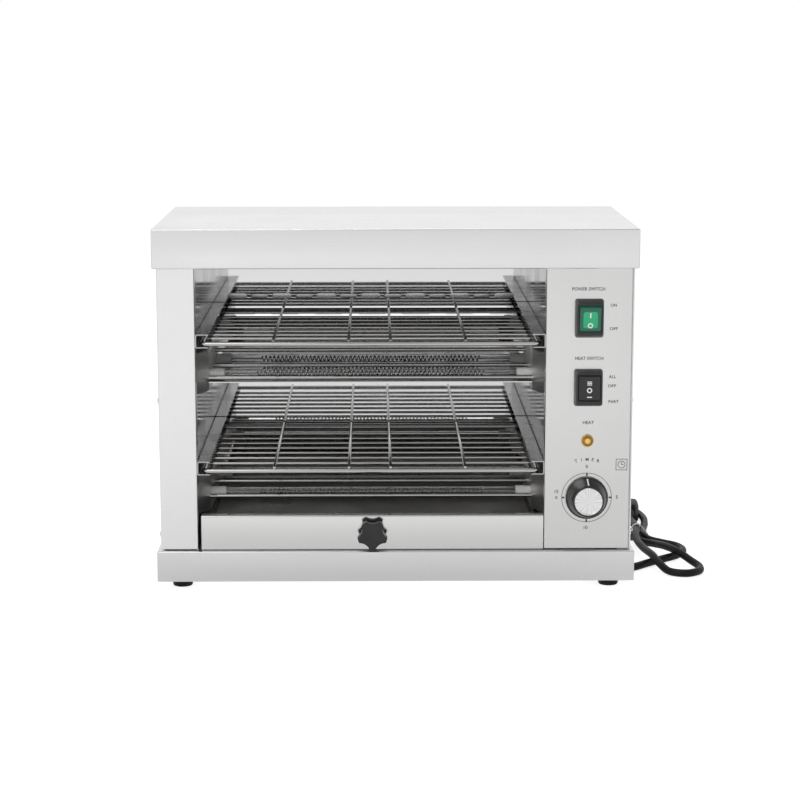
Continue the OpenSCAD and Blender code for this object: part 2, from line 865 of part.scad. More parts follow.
// Spun metal cap of the timer knob
module timer_knob_cap() {
  color("silver") from_front() translate([control_mid, body_front - timer_out + 2, timer_z])
    rotate([90, 0, 0]) cylinder(d = timer_cap_d, h = 2);
}

// ---------------------------------------------------------------- wiring and screws

// Three-way terminal block on the deck, near the cord outlet
module terminal_block() {
  left = outlet_x - 31;
  front = back_in - 43;
  color("ivory") from_front() difference() {
    block([left, left + 24], [front, front + 18], [deck_z, deck_z + 16]);
    for (x = [left + 4, left + 12, left + 20]) {
      bar_d(x, [front - 1, front + 19], deck_z + 6, 3.4);
      translate([x, front + 9, deck_z + 6]) cylinder(d = 4, h = 12);
    }
  }
}

// Dome-headed screw, with its head on the plane z = 0 and its shank below it
module dome_screw() {
  intersection() {
    translate([0, 0, -3.4]) sphere(r = 5.4);
    cylinder(d = 8, h = 4);
  }
  translate([0, 0, -8]) cylinder(d = 4, h = 8.5);
}

module side_screws() {
  color("silver") from_front() {
    at_side_screws() dome_screw();
    mirror([1, 0, 0]) at_side_screws() dome_screw();
  }
}

module back_screws() {
  color("silver") from_front() at_back_screws() {
    cylinder(d = 6.6, h = 1.9);
    translate([0, 0, -5]) cylinder(d = 3, h = 6);
  }
}

// ---------------------------------------------------------------- mains lead

// Flexible sleeve through the back panel, tapering along the cord
module strain_relief() {
  face = back_in + sheet;
  color("#1c1c1c") from_front() translate([outlet_x, face, outlet_z]) rotate([-90, 0, 0])
    difference() {
      union() {
        translate([0, 0, -3]) cylinder(d = 11.8, h = 4);
        cylinder(d = 17, h = 3);
        translate([0, 0, 3]) cylinder(d1 = 13, d2 = cord_d + 1.8, h = relief_len - 3);
      }
      translate([0, 0, -4]) cylinder(d = cord_d + 0.1, h = relief_len + 5);
    }
}

// Length of the step from point i of a route to the next
function step(p, i) = norm(p[i + 1] - p[i]);

// Direction of a route at point i, weighted by the lengths of the steps beside it
function heading(p, i) =
  i == 0 ? (p[1] - p[0]) / step(p, 0) :
  i == len(p) - 1 ? (p[i] - p[i - 1]) / step(p, i - 1) :
  ((p[i] - p[i - 1]) / step(p, i - 1) * step(p, i) + (p[i + 1] - p[i]) / step(p, i) * step(p, i - 1))
    / (step(p, i - 1) + step(p, i));

// Point at fraction t of the step from point i to the next, on a smooth cubic
function on_curve(p, i, t) =
  (2 * t * t * t - 3 * t * t + 1) * p[i]
  + (t * t * t - 2 * t * t + t) * step(p, i) * heading(p, i)
  + (3 * t * t - 2 * t * t * t) * p[i + 1]
  + (t * t * t - t * t) * step(p, i) * heading(p, i + 1);

// The whole smooth route, with n points to a step
function smooth(p, n) = [
  for (i = [0 : len(p) - 2]) for (k = [0 : n - 1]) on_curve(p, i, k / n),
  p[len(p) - 1]
];

// Direction along a smooth route at ring i
function along(c, i) =
  let (a = c[max(i - 1, 0)], b = c[min(i + 1, len(c) - 1)]) (b - a) / norm(b - a);

// Ring of n points round the middle point, square to the direction
function ring(middle, direction, r, n) =
  let (side = cross([0, 0, 1], direction), flat = side / norm(side), rise = cross(direction, flat))
  [for (k = [0 : n - 1]) middle + r * (cos(360 * k / n) * flat + sin(360 * k / n) * rise)];

// Closed tube along a smooth route, as one polyhedron
module swept_tube(c, r, n) {
  rings = len(c);
  points = [for (i = [0 : rings - 1]) each ring(c[i], along(c, i), r, n)];
  walls = [
    for (i = [0 : rings - 2]) for (k = [0 : n - 1]) let (next = (k + 1) % n)
      [i * n + k, i * n + next, (i + 1) * n + next, (i + 1) * n + k]
  ];
  ends = [[for (k = [n - 1 : -1 : 0]) k], [for (k = [0 : n - 1]) (rings - 1) * n + k]];
  polyhedron(points, concat(walls, ends), convexity = 20);
}

// Moves a piece of the mains lead from the rear right corner of the case
module from_corner() {
  from_front() translate([half_w, case_d, 0]) children();
}

module mains_cord() {
  color("#1a1a1a") from_corner()
    swept_tube(smooth(cord_route, cord_steps), cord_d / 2, cord_sides);
}

// Tie round the three strands of the folded cord
module cord_tie() {
  size = [tie_x[1] - tie_x[0], tie_z[1] - tie_z[0]];
  color("white") from_corner() translate([tie_x[0], tie_d + tie_w / 2, tie_z[0]])
    rotate([90, 0, 0]) linear_extrude(tie_w) difference() {
      translate([-tie_wall, -tie_wall]) square(size + [2 * tie_wall, 2 * tie_wall]);
      square(size);
    }
}

// Places a plug piece, with its cord entry at the origin and its blades along +Y
module at_plug() {
  last = cord_route[len(cord_route) - 1];
  from_corner() translate(last) rotate([0, 0, plug_yaw]) translate([0, plug_gap, 0]) children();
}

// Moulded plug with a tapered boot
module plug_body() {
  last = cord_route[len(cord_route) - 1];
  low = 0.1 - last[2];
  color("#1a1a1a") at_plug() {
    rotate([-90, 0, 0]) cylinder(d1 = cord_d + 2, d2 = 16, h = plug_boot);
    intersection() {
      translate([0, 0, low]) linear_extrude(plug_h)
        polygon([[-9, plug_boot], [9, plug_boot], [plug_w / 2, plug_boot + 10],
                 [plug_w / 2, plug_boot + plug_len], [-plug_w / 2, plug_boot + plug_len],
                 [-plug_w / 2, plug_boot + 10]]);
      translate([0, plug_boot, low + plug_h / 2]) rotate([-90, 0, 0])
        linear_extrude(plug_len) union() {
          square([plug_w, plug_h - 8], center = true);
          square([plug_w - 8, plug_h], center = true);
          for (x = [-1, 1], y = [-1, 1])
            translate([x * (plug_w / 2 - 4), y * (plug_h / 2 - 4)]) circle(r = 4);
        }
    }
  }
}

// Two flat blades and a round earth pin
module plug_pins() {
  start = plug_boot + plug_len;
  color("gold") at_plug() {
    for (side = [-1, 1])
      translate([side * blade_gap / 2 - 0.75, start, -0.5]) cube([1.5, 16, 6.3]);
    translate([0, start, -5]) rotate([-90, 0, 0]) cylinder(d = 4.8, h = 19);
  }
}

// ---------------------------------------------------------------- nodes

top_cover();
left_side_panel();
right_side_panel();
control_panel();
back_panel();
base_plinth();
bottom_plate();
rubber_feet();
foot_screws();
left_inner_wall();
right_inner_wall();
chamber_roof();
upper_left_rail();
upper_right_rail();
lower_left_rail();
lower_right_rail();
upper_rack();
lower_rack();
crumb_tray();
tray_knob();
tray_knob_screw();
top_front_tube();
top_rear_tube();
middle_front_tube();
middle_rear_tube();
lower_front_tube();
lower_rear_tube();
top_front_coil();
top_rear_coil();
middle_front_coil();
middle_rear_coil();
lower_front_coil();
lower_rear_coil();
top_tube_caps();
middle_tube_caps();
lower_tube_caps();
middle_guard_rods();
lower_guard_rods();
heater_housings();
middle_reflector();
power_switch_body();
power_switch_bezel();
power_rocker();
heat_switch_body();
heat_switch_bezel();
heat_rocker();
pilot_lamp_body();
pilot_lamp_lens();
timer_body();
timer_shaft();
timer_knob();
timer_knob_cap();
terminal_block();
side_screws();
back_screws();
strain_relief();
mains_cord();
cord_tie();
plug_body();
plug_pins();
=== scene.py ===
"""Countertop cheese melter, dressed for a plain studio view.

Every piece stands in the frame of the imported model: metres, X to the right, Y to the back
and Z up from the table top. Sizes below are in millimetres. A depth is counted from the
front face of the top cover, as a maker would mark it, and at() turns it into a place.
"""
import logging
import math
from collections.abc import Callable, Iterator, Sequence
from contextlib import contextmanager
from dataclasses import dataclass, field, replace
from enum import Enum

import bmesh
import bpy
from mathutils import Matrix, Vector


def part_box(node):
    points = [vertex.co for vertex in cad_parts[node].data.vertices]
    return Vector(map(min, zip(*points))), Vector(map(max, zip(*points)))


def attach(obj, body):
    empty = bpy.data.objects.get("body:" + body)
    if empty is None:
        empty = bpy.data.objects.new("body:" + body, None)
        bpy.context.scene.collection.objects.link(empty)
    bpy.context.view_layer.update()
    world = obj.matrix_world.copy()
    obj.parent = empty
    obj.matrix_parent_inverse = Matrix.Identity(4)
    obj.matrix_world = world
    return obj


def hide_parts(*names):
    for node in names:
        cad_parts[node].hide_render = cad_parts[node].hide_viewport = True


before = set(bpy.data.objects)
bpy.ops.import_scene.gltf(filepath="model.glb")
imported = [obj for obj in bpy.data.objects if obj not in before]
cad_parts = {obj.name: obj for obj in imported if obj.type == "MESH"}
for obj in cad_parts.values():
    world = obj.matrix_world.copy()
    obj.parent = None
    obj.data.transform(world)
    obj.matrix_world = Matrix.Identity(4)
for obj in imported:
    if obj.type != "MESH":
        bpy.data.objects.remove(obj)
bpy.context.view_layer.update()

Piece = bpy.types.Object
Tree = bpy.types.NodeTree
Socket = bpy.types.NodeSocket
Rings = Sequence[tuple[float, float]]

LOG = logging.getLogger("cheese_melter")
MM = 0.001
SHEET = 1.0
FRONT_ROW = -113.5
CHAMBER_LEFT = -186.5
CHAMBER_RIGHT = 139.5
UP = Vector((0, 0, 1))
BACK = Vector((0, 1, 0))
FORWARD = Vector((0, -1, 0))
RIGHT = Vector((1, 0, 0))
LEFT = Vector((-1, 0, 0))
DOWN = Vector((0, 0, -1))
FLIP = Matrix.Scale(-1, 4, RIGHT)


class Body(Enum):
    """The moving bodies of the melter."""

    CASE = "case"
    TRAY = "tray"
    RACK_ABOVE = "rack_above"
    RACK_BELOW = "rack_below"
    POWER_KEY = "power_key"
    HEAT_KEY = "heat_key"
    TIMER_DIAL = "timer_dial"


class Slot(Enum):
    """The material slots of the record."""

    CASE = "case_steel"
    POLISHED = "polished_steel"
    WIRE = "rack_wire"
    PLATED = "plated_steel"
    QUARTZ = "quartz"
    COIL = "heating_wire"
    CERAMIC = "ceramic"
    BLACK = "black_plastic"
    GLOSSY = "glossy_black_plastic"
    GREEN = "green_plastic"
    AMBER = "amber_plastic"
    GREY = "grey_plastic"
    WHITE = "white_plastic"
    RUBBER = "black_rubber"
    SPUN = "spun_aluminium"
    BRASS = "brass"


def mm(x: float, y: float, z: float) -> Vector:
    """Vector in metres from millimetres."""
    return Vector((x, y, z)) * MM


def at(x: float, d: float, z: float) -> Vector:
    """Place in metres of a point at x, depth d and height z in millimetres."""
    return Vector((x, d + FRONT_ROW, z)) * MM


def towards(facing: Vector) -> Matrix:
    """Matrix that turns UP to another direction."""
    return facing.to_track_quat("Z", "Y").to_matrix().to_4x4()


def across_chamber() -> Matrix:
    """Matrix that mirrors the chamber's left side to its right."""
    return Matrix.Translation(RIGHT * (CHAMBER_RIGHT + CHAMBER_LEFT) * MM) @ FLIP


# ------------------------------------------------------------------ bench tools


def take(piece: Piece) -> None:
    """Select one piece alone and make it the active one.

    Args:
        piece: The piece.
    """
    bpy.ops.object.select_all(action="DESELECT")
    piece.select_set(True)
    bpy.context.view_layer.objects.active = piece


def settle(name: str) -> Piece:
    """Name the active piece and move its place, turn and size into its mesh.

    Args:
        name: The name the piece gets.

    Returns:
        The piece, with its object at the origin.
    """
    piece = bpy.context.active_object
    take(piece)
    bpy.ops.object.transform_apply(location=True, rotation=True, scale=True)
    piece.name = name
    piece.data.name = name
    return piece


def made(name: str, add: Callable, **settings: object) -> Piece:
    """Add a shape with nothing else selected, and settle it.

    Args:
        name: Name of the piece.
        add: The operator that adds the shape.
        **settings: The operator's settings.

    Returns:
        The piece.
    """
    bpy.ops.object.select_all(action="DESELECT")
    add(**settings)
    return settle(name)


@contextmanager
def editing(piece: Piece, kind: str = "EDGE") -> Iterator[None]:
    """Open a piece in edit mode with nothing selected, and close it afterwards.

    Args:
        piece: The piece to edit.
        kind: VERT, EDGE or FACE.

    Yields:
        Nothing, while the piece is open.
    """
    take(piece)
    bpy.ops.object.mode_set(mode="EDIT")
    bpy.ops.mesh.select_mode(type=kind)
    bpy.ops.mesh.select_all(action="DESELECT")
    try:
        yield
    finally:
        bpy.ops.object.mode_set(mode="OBJECT")


def pick(piece: Piece, kind: str, test: Callable) -> None:
    """Select the parts of an open piece that pass a test, and no others.

    Args:
        piece: The piece, open in edit mode.
        kind: verts, edges or faces.
        test: Takes one part and says whether it is wanted.
    """
    bpy.ops.mesh.select_all(action="DESELECT")
    mesh = bmesh.from_edit_mesh(piece.data)
    mesh.normal_update()
    for part in getattr(mesh, kind):
        if test(part):
            part.select_set(True)
    mesh.select_flush_mode()
    bmesh.update_edit_mesh(piece.data)


def pick_all() -> None:
    """Select the whole of the open piece."""
    bpy.ops.mesh.select_all(action="SELECT")


def extrude(shift: Vector = Vector((0, 0, 0))) -> None:
    """Extrude what is selected and move it."""
    bpy.ops.mesh.extrude_region_move(TRANSFORM_OT_translate={"value": tuple(shift)})


def scale_about(centre: Vector, x: float = 1.0, y: float = 1.0, z: float = 1.0) -> None:
    """Scale what is selected about a centre."""
    bpy.ops.transform.resize(value=(x, y, z), center_override=tuple(centre))


def round_edges(radius: float, segments: int = 4) -> None:
    """Round the selected edges of an open piece to a radius in millimetres."""
    bpy.ops.mesh.bevel(offset=radius * MM, segments=segments, affect="EDGES", clamp_overlap=True)


def sharp(edge: bmesh.types.BMEdge) -> bool:
    """Whether an edge joins two faces at a clear angle."""
    return len(edge.link_faces) == 2 and edge.calc_face_angle(0.0) > 0.5


def runs_back(edge: bmesh.types.BMEdge) -> bool:
    """Whether an edge runs from the front to the back."""
    return abs((edge.verts[0].co - edge.verts[1].co).normalized().y) > 0.7


def modify(piece: Piece, kind: str, **settings: object) -> None:
    """Add one modifier to a piece and apply it.

    Args:
        piece: The piece.
        kind: The modifier's type.
        **settings: Its values by name.
    """
    take(piece)
    modifier = piece.modifiers.new(kind.title(), kind)
    for key, value in settings.items():
        setattr(modifier, key, value)
    bpy.ops.object.modifier_apply(modifier=modifier.name)


def thicken(piece: Piece, wall: float) -> None:
    """Give an open shell its wall in millimetres, on the side away from its normals."""
    modify(piece, "SOLIDIFY", thickness=wall * MM, offset=-1.0, use_even_offset=True)


def soften(piece: Piece, width: float, segments: int = 2, angle: float = 40) -> None:
    """Round the edges of a finished piece.

    Args:
        piece: The piece.
        width: Width of the rounding in millimetres.
        segments: Number of its facets.
        angle: Only edges sharper than this many degrees are rounded.
    """
    modify(
        piece, "BEVEL", width=width * MM, segments=segments, limit_method="ANGLE",
        angle_limit=math.radians(angle), harden_normals=False,
    )


def cut(piece: Piece, *cutters: Piece) -> None:
    """Cut pieces out of another and throw the cutters away.

    Args:
        piece: The piece that is cut.
        *cutters: The pieces that are taken out of it.
    """
    for cutter in cutters:
        modify(piece, "BOOLEAN", operation="DIFFERENCE", solver="EXACT", object=cutter)
        bpy.data.objects.remove(cutter)


def join(name: str, pieces: Sequence[Piece]) -> Piece:
    """Join pieces into one.

    Args:
        name: Name of the joined piece.
        pieces: The pieces.

    Returns:
        The joined piece.
    """
    take(pieces[0])
    for piece in pieces[1:]:
        piece.select_set(True)
    bpy.ops.object.join()
    return settle(name)


def moved(piece: Piece, matrix: Matrix) -> Piece:
    """Move a piece in its mesh.

    Args:
        piece: The piece.
        matrix: Where it goes from where it stands.

    Returns:
        The piece.
    """
    piece.matrix_world = matrix @ piece.matrix_world
    take(piece)
    return settle(piece.name)


def copied(piece: Piece, name: str, matrix: Matrix) -> Piece:
    """Copy a piece with a mesh of its own, and move the copy.

    Args:
        piece: The piece to copy.
        name: The name of the copy.
        matrix: Where the copy goes from where the piece stands.

    Returns:
        The copy, its faces pointing outwards.
    """
    take(piece)
    bpy.ops.object.duplicate()
    twin = bpy.context.active_object
    twin.matrix_world = matrix
    twin = settle(name)
    if matrix.determinant() < 0:
        face_outwards(twin)
    return twin


def face_outwards(piece: Piece) -> None:
    """Merge doubles of a closed piece and turn its faces outwards.

    Args:
        piece: The piece.
    """
    with editing(piece, "VERT"):
        pick_all()
        bpy.ops.mesh.remove_doubles(threshold=1e-6)
        bpy.ops.mesh.normals_make_consistent(inside=False)


def block(name: str, low: Vector, high: Vector) -> Piece:
    """Block between two corners."""
    add = bpy.ops.mesh.primitive_cube_add
    return made(name, add, size=1, location=(low + high) / 2, scale=high - low)


def rod(name: str, start: Vector, end: Vector, diameter: float, sides: int = 32) -> Piece:
    """Round bar.

    Args:
        name: Name of the piece.
        start: Middle of one end.
        end: Middle of the other end.
        diameter: Its diameter in millimetres.
        sides: Number of its sides.

    Returns:
        The bar.
    """
    run = end - start
    return made(
        name, bpy.ops.mesh.primitive_cylinder_add, vertices=sides, radius=diameter * MM / 2,
        depth=run.length, end_fill_type="NGON", location=(start + end) / 2,
        rotation=run.to_track_quat("Z", "Y").to_euler(),
    )


def turned(
    name: str, rings: Rings, foot: Vector, facing: Vector, sides: int = 48, closed: bool = False
) -> Piece:
    """Piece turned on a lathe: a ring extruded and scaled from height to height.

    Args:
        name: Name of the piece.
        rings: Radius and height of each ring in millimetres.
        foot: Where height 0 is.
        facing: The direction in which the height counts.
        sides: Number of sides.
        closed: Whether the last ring meets the first, as round a hole.

    Returns:
        The closed piece.
    """
    radius, height = rings[0]
    piece = made(name, bpy.ops.mesh.primitive_circle_add, vertices=sides, radius=radius * MM,
                 location=(0, 0, height * MM))
    with editing(piece):
        pick_all()
        for wide, high in [*rings[1:], *([rings[0]] if closed else [])]:
            extrude(UP * (high - height) * MM)
            scale_about(Vector(), wide / radius, wide / radius)
            radius, height = wide, high
        pick_all()
        bpy.ops.mesh.remove_doubles(threshold=1e-6)
        if not closed:
            pick(piece, "edges", lambda edge: edge.is_boundary)
            bpy.ops.mesh.fill_holes(sides=0)
        pick_all()
        bpy.ops.mesh.normals_make_consistent(inside=False)
    return moved(piece, Matrix.Translation(foot) @ towards(facing))


def strip(
    name: str, profile: Sequence[Vector], run: Vector, outward: Vector, bend: float = 1.3,
) -> Piece:
    """Sheet folded along parallel lines, drawn by its outer face.

    Args:
        name: Name of the piece.
        profile: The outer face's corners at one end, in order.
        run: From that end to the other.
        outward: A direction that some flat of the outer face points in.
        bend: Radius of the folds in millimetres.

    Returns:
        The folded piece.
    """
    flat = profile[1] - profile[0]
    turn = Matrix((flat, run, flat.cross(run).normalized())).transposed().to_4x4()
    middle = Matrix.Translation((profile[0] + profile[1] + run) / 2)
    piece = moved(made(name, bpy.ops.mesh.primitive_plane_add, size=1), middle @ turn)
    along = run.normalized()
    with editing(piece):
        for last, corner in zip(profile[1:], profile[2:]):
            pick(piece, "edges", lambda edge: all(
                (vert.co - last).cross(along).length < 1e-6 for vert in edge.verts))
            extrude(corner - last)
        pick_all()
        bpy.ops.mesh.normals_make_consistent(inside=False)
        mesh = bmesh.from_edit_mesh(piece.data)
        best = max(mesh.faces, key=lambda face: abs(face.normal.dot(outward)))
        if best.normal.dot(outward) < 0:
            bpy.ops.mesh.flip_normals()
        if bend > 0:
            pick(piece, "edges", sharp)
            round_edges(bend)
    thicken(piece, SHEET)
    return piece


def lid(
    name: str, low: Vector, high: Vector, open_to: Vector, bend: float, hem: float = 0.0
) -> Piece:
    """Folded box of sheet, open on one side.

    Args:
        name: Name of the piece.
        low: Its lowest corner.
        high: Its highest corner.
        open_to: The direction of the open side.
        bend: Radius of its edges in millimetres.
        hem: Width of the rim turned in round the open side, in millimetres.

    Returns:
        The folded piece.
    """
    piece = block(name, low, high)
    centre = (low + high) / 2
    size = high - low
    with editing(piece, "FACE"):
        pick(piece, "faces", lambda face: face.normal.dot(open_to) > 0.5)
        bpy.ops.mesh.delete(type="FACE")
        bpy.ops.mesh.select_mode(type="EDGE")
        if hem:
            pick(piece, "edges", lambda edge: edge.is_boundary)
            extrude()
            scale_about(centre, *(
                1 - (0 if abs(open_to[i]) > 0.5 else 2 * hem * MM / size[i]) for i in range(3)))
        pick(piece, "edges", sharp)
        round_edges(bend)
    thicken(piece, SHEET)
    return piece


# ------------------------------------------------------------------ finishes


def feed(tree: Tree, target: bpy.types.Node, inputs: dict[str | int, object]) -> None:
    """Fill a node's inputs.

    Args:
        tree: The nodes.
        target: The node.
        inputs: A socket to wire or a value to set, by the input's name or number.
    """
    for key, value in inputs.items():
        if isinstance(value, Socket):
            tree.links.new(value, target.inputs[key])
        else:
            target.inputs[key].default_value = value


def node(
    tree: Tree, kind: str, inputs: dict[str | int, object] | None = None, **settings: object
) -> bpy.types.Node:
    """Add a shader node with its settings and its inputs.

    Args:
        tree: The nodes.
        kind: The node's type after ShaderNode.
        inputs: What feed() puts into it.
        **settings: The node's settings by name.

    Returns:
        The node.
    """
    fresh = tree.nodes.new(f"ShaderNode{kind}")
    for key, value in settings.items():
        setattr(fresh, key, value)
    feed(tree, fresh, inputs or {})
    return fresh


def noise_group(name: str, entry: str, kind: str, result: str) -> tuple[Tree, Socket, Socket]:
    """Start a node group that takes one value and has a noise in Object coordinates.

    Args:
        name: Name of the group.
        entry: Name of its input.
        kind: That input's type of socket.
        result: Name of its output.

    Returns:
        The group, the socket its value comes from, and the Object coordinates.
    """
    tree = bpy.data.node_groups.new(name, "ShaderNodeTree")
    tree.interface.new_socket(entry, in_out="INPUT", socket_type=kind)
    tree.interface.new_socket(result, in_out="OUTPUT", socket_type="NodeSocketFloat")
    enter = tree.nodes.new("NodeGroupInput")
    tree.nodes.new("NodeGroupOutput")
    return tree, enter.outputs[entry], node(tree, "TexCoord").outputs["Object"]


def streak_group() -> Tree:
    """Noise stretched by a scale: brushed grain, or an even speckle.

    Returns:
        The group; its Scale is in steps per metre, and it puts out Streak, from 0 to 1.
    """
    known = bpy.data.node_groups.get("streaks")
    if known:
        return known
    tree, scale, place = noise_group("streaks", "Scale", "NodeSocketVector", "Streak")
    stretch = node(tree, "Mapping", {"Vector": place, "Scale": scale})
    noise = node(tree, "TexNoise", {
        "Vector": stretch.outputs["Vector"], "Scale": 1.0, "Detail": 4.0, "Roughness": 0.6})
    feed(tree, tree.nodes["Group Output"], {"Streak": noise.outputs["Fac"]})
    return tree


def handling_group() -> Tree:
    """Soft patches that handling, wiping and heat leave on a surface.

    Returns:
        The group; its Size is in patches per metre, and it puts out Patch, from 0 to 1.
    """
    known = bpy.data.node_groups.get("handling")
    if known:
        return known
    tree, size, place = noise_group("handling", "Size", "NodeSocketFloat", "Patch")
    noise = node(tree, "TexNoise", {
        "Vector": place, "Scale": size, "Detail": 3.0, "Distortion": 0.6})
    spread = node(tree, "MapRange", {
        "Value": noise.outputs["Fac"], "From Min": 0.3, "From Max": 0.7})
    feed(tree, tree.nodes["Group Output"], {"Patch": spread.outputs["Result"]})
    return tree


@dataclass(frozen=True)
class Finish:
    """A finish: a colour with a grain, patches of wear and a fine relief."""

    name: str
    slot: Slot
    colour: tuple[float, float, float]
    roughness: float
    grain: tuple[float, float, float] = (600.0, 600.0, 600.0)
    metallic: float = 0.0
    tone: float = 0.04
    wear: float = 0.05
    patches: float = 12.0
    relief: float = 0.01
    strength: float = 0.3
    coat: float = 0.0
    transmission: float = 0.0
    ior: float = 1.5
    subsurface: float = 0.0
    glow: float = 0.0

    def material(self) -> bpy.types.Material:
        """The finish as a material, made once."""
        return bpy.data.materials.get(self.name) or self.mix()

    def mix(self) -> bpy.types.Material:
        """Build the material's nodes.

        Returns:
            The new material.
        """
        material = bpy.data.materials.new(self.name)
        material.use_nodes = True
        tree = material.node_tree
        streaks = node(tree, "Group", {"Scale": self.grain}, node_tree=streak_group())
        handling = node(tree, "Group", {"Size": self.patches}, node_tree=handling_group())
        streak = streaks.outputs["Streak"]
        rough = node(tree, "MapRange", {
            "Value": handling.outputs["Patch"], "To Min": max(self.roughness - self.wear, 0.02),
            "To Max": min(self.roughness + self.wear, 1.0)})
        bump = node(tree, "Bump", {
            "Height": streak, "Distance": self.relief * MM, "Strength": self.strength})
        colour = self.tint(tree, streak)
        feed(tree, tree.nodes["Principled BSDF"], {
            "Base Color": colour, "Metallic": self.metallic, "Roughness": rough.outputs["Result"],
            "Normal": bump.outputs["Normal"], "IOR": self.ior, "Coat Weight": self.coat,
            "Coat Roughness": 0.06, "Transmission Weight": self.transmission,
            "Subsurface Weight": self.subsurface, "Subsurface Scale": 0.004})
        if self.glow:
            feed(tree, tree.nodes["Principled BSDF"], {
                "Emission Color": colour, "Emission Strength": self.glow})
        return material

    def tint(self, tree: Tree, streak: Socket) -> Socket:
        """Colour that varies a little along the grain.

        Args:
            tree: The material's nodes.
            streak: The grain, from 0 to 1.

        Returns:
            The colour.
        """
        dark = [channel * (1 - self.tone) for channel in self.colour]
        light = [min(channel * (1 + self.tone), 1.0) for channel in self.colour]
        blend = node(tree, "Mix", {
            "Factor": streak, "A": (*dark, 1.0), "B": (*light, 1.0)}, data_type="RGBA")
        return blend.outputs["Result"]


@dataclass(frozen=True)
class PaintedRaysFinish(Finish):
    """Turned metal, with painted highlights: rays of light and shade painted into its colour round
    its centre.
    """

    centre: tuple[float, float, float] = (0.0, 0.0, 0.0)

    def tint(self, tree: Tree, streak: Socket) -> Socket:
        """Colour that varies with the angle round the centre: painted highlights in rays.

        Args:
            tree: The material's nodes.
            streak: The grain, which this colour doesn't need.

        Returns:
            The colour.
        """
        place = node(tree, "TexCoord")
        centred = node(tree, "Mapping", {
            "Vector": place.outputs["Object"], "Location": [-value for value in self.centre]})
        split = node(tree, "SeparateXYZ", {"Vector": centred.outputs["Vector"]})
        turn = node(tree, "Math", {0: split.outputs["Z"], 1: split.outputs["X"]},
                    operation="ARCTAN2")
        # Painted highlights: light and dark rays round the centre, put in the colour.
        rays = node(tree, "TexNoise", {
            "W": turn.outputs["Value"], "Scale": 9.0, "Detail": 5.0, "Roughness": 0.7},
            noise_dimensions="1D")
        ramp = node(tree, "ValToRGB", {"Fac": rays.outputs["Fac"]})
        stops = ((0.38, (0.66, 0.66, 0.67, 1.0)), (0.62, (1.0, 1.0, 1.0, 1.0)))
        for stop, (position, colour) in zip(ramp.color_ramp.elements, stops):
            stop.position = position
            stop.color = colour
        return ramp.outputs["Color"]


def even(value: float) -> tuple[float, float, float]:
    """The same value three times: a grey, or a speckle as fine in every direction."""
    return (value, value, value)


CASE_STEEL = Finish(
    "brushed_case_steel", Slot.CASE, even(0.80), 0.27, (6.0, 900.0, 900.0), metallic=1.0,
    tone=0.02, patches=7.0, relief=0.004, strength=0.25)
# Darker copy of the case steel: painted shade on the plinth, low down by the floor.
SHADED_BASE_STEEL = replace(
    CASE_STEEL, name="base_steel", colour=(0.72, 0.715, 0.715), roughness=0.24, patches=9.0)
# Darker again and smoother: the darker colour is painted shade on the tray's low front plate.
SHADED_TRAY_STEEL = replace(
    SHADED_BASE_STEEL, name="bright_tray_steel", colour=(0.695, 0.69, 0.685), roughness=0.12,
    wear=0.03, relief=0.002, strength=0.2)
# Lighter copy of the case steel with upright grain: its lighter colour is painted light on the
# sides and the column.
LIT_UPRIGHT_STEEL = replace(
    CASE_STEEL, name="upright_case_steel", colour=even(0.86), roughness=0.3,
    grain=(900.0, 900.0, 6.0))
# Darker copy of the upright steel: painted shade on the control panel.
SHADED_PANEL_STEEL = replace(
    LIT_UPRIGHT_STEEL, name="control_panel_steel", colour=(0.725, 0.72, 0.715), roughness=0.26)
# Dark steel for the pan, with a coarse tone and patches.
PAN_STEEL = Finish(
    "dark_pan_steel", Slot.CASE, (0.20, 0.195, 0.19), 0.34, (8.0, 500.0, 500.0),
    metallic=1.0, tone=0.1, wear=0.1, patches=16.0)
# Dark steel whose colour is painted shade inside the chamber, far below bright steel's own colour.
SHADED_CHAMBER_STEEL = Finish(
    "chamber_steel", Slot.POLISHED, (0.19, 0.19, 0.195), 0.13, (200.0, 5.0, 200.0),
    metallic=1.0, tone=0.05, patches=18.0, relief=0.003)
MIRROR_STEEL = Finish(
    "mirror_steel", Slot.POLISHED, even(0.72), 0.03, (9.0, 9.0, 14.0), metallic=1.0,
    tone=0.02, wear=0.01, patches=10.0, relief=0.03)
REFLECTOR_STEEL = Finish(
    "reflector_steel", Slot.POLISHED, even(0.62), 0.1, (9.0, 400.0, 400.0), metallic=1.0,
    wear=0.04, patches=14.0)
# Darker steel whose colour is painted shade on the channels inside the chamber.
SHADED_RAIL_STEEL = Finish(
    "rail_steel", Slot.POLISHED, even(0.46), 0.24, (300.0, 8.0, 300.0), metallic=1.0,
    wear=0.06, patches=22.0, relief=0.005)
PAD_STEEL = replace(
    SHADED_RAIL_STEEL, name="pressed_pad_steel", colour=(0.50, 0.50, 0.51), roughness=0.22,
    grain=even(60.0), wear=0.04)
HOUSING_STEEL = Finish(
    "housing_steel", Slot.POLISHED, (0.80, 0.80, 0.79), 0.38, (300.0, 40.0, 300.0),
    metallic=1.0, tone=0.05, wear=0.08, patches=22.0)
RACK_WIRE = Finish(
    "nickel_rack_wire", Slot.WIRE, (0.54, 0.53, 0.52), 0.13, even(60.0), metallic=1.0,
    tone=0.05, patches=40.0, relief=0.002)
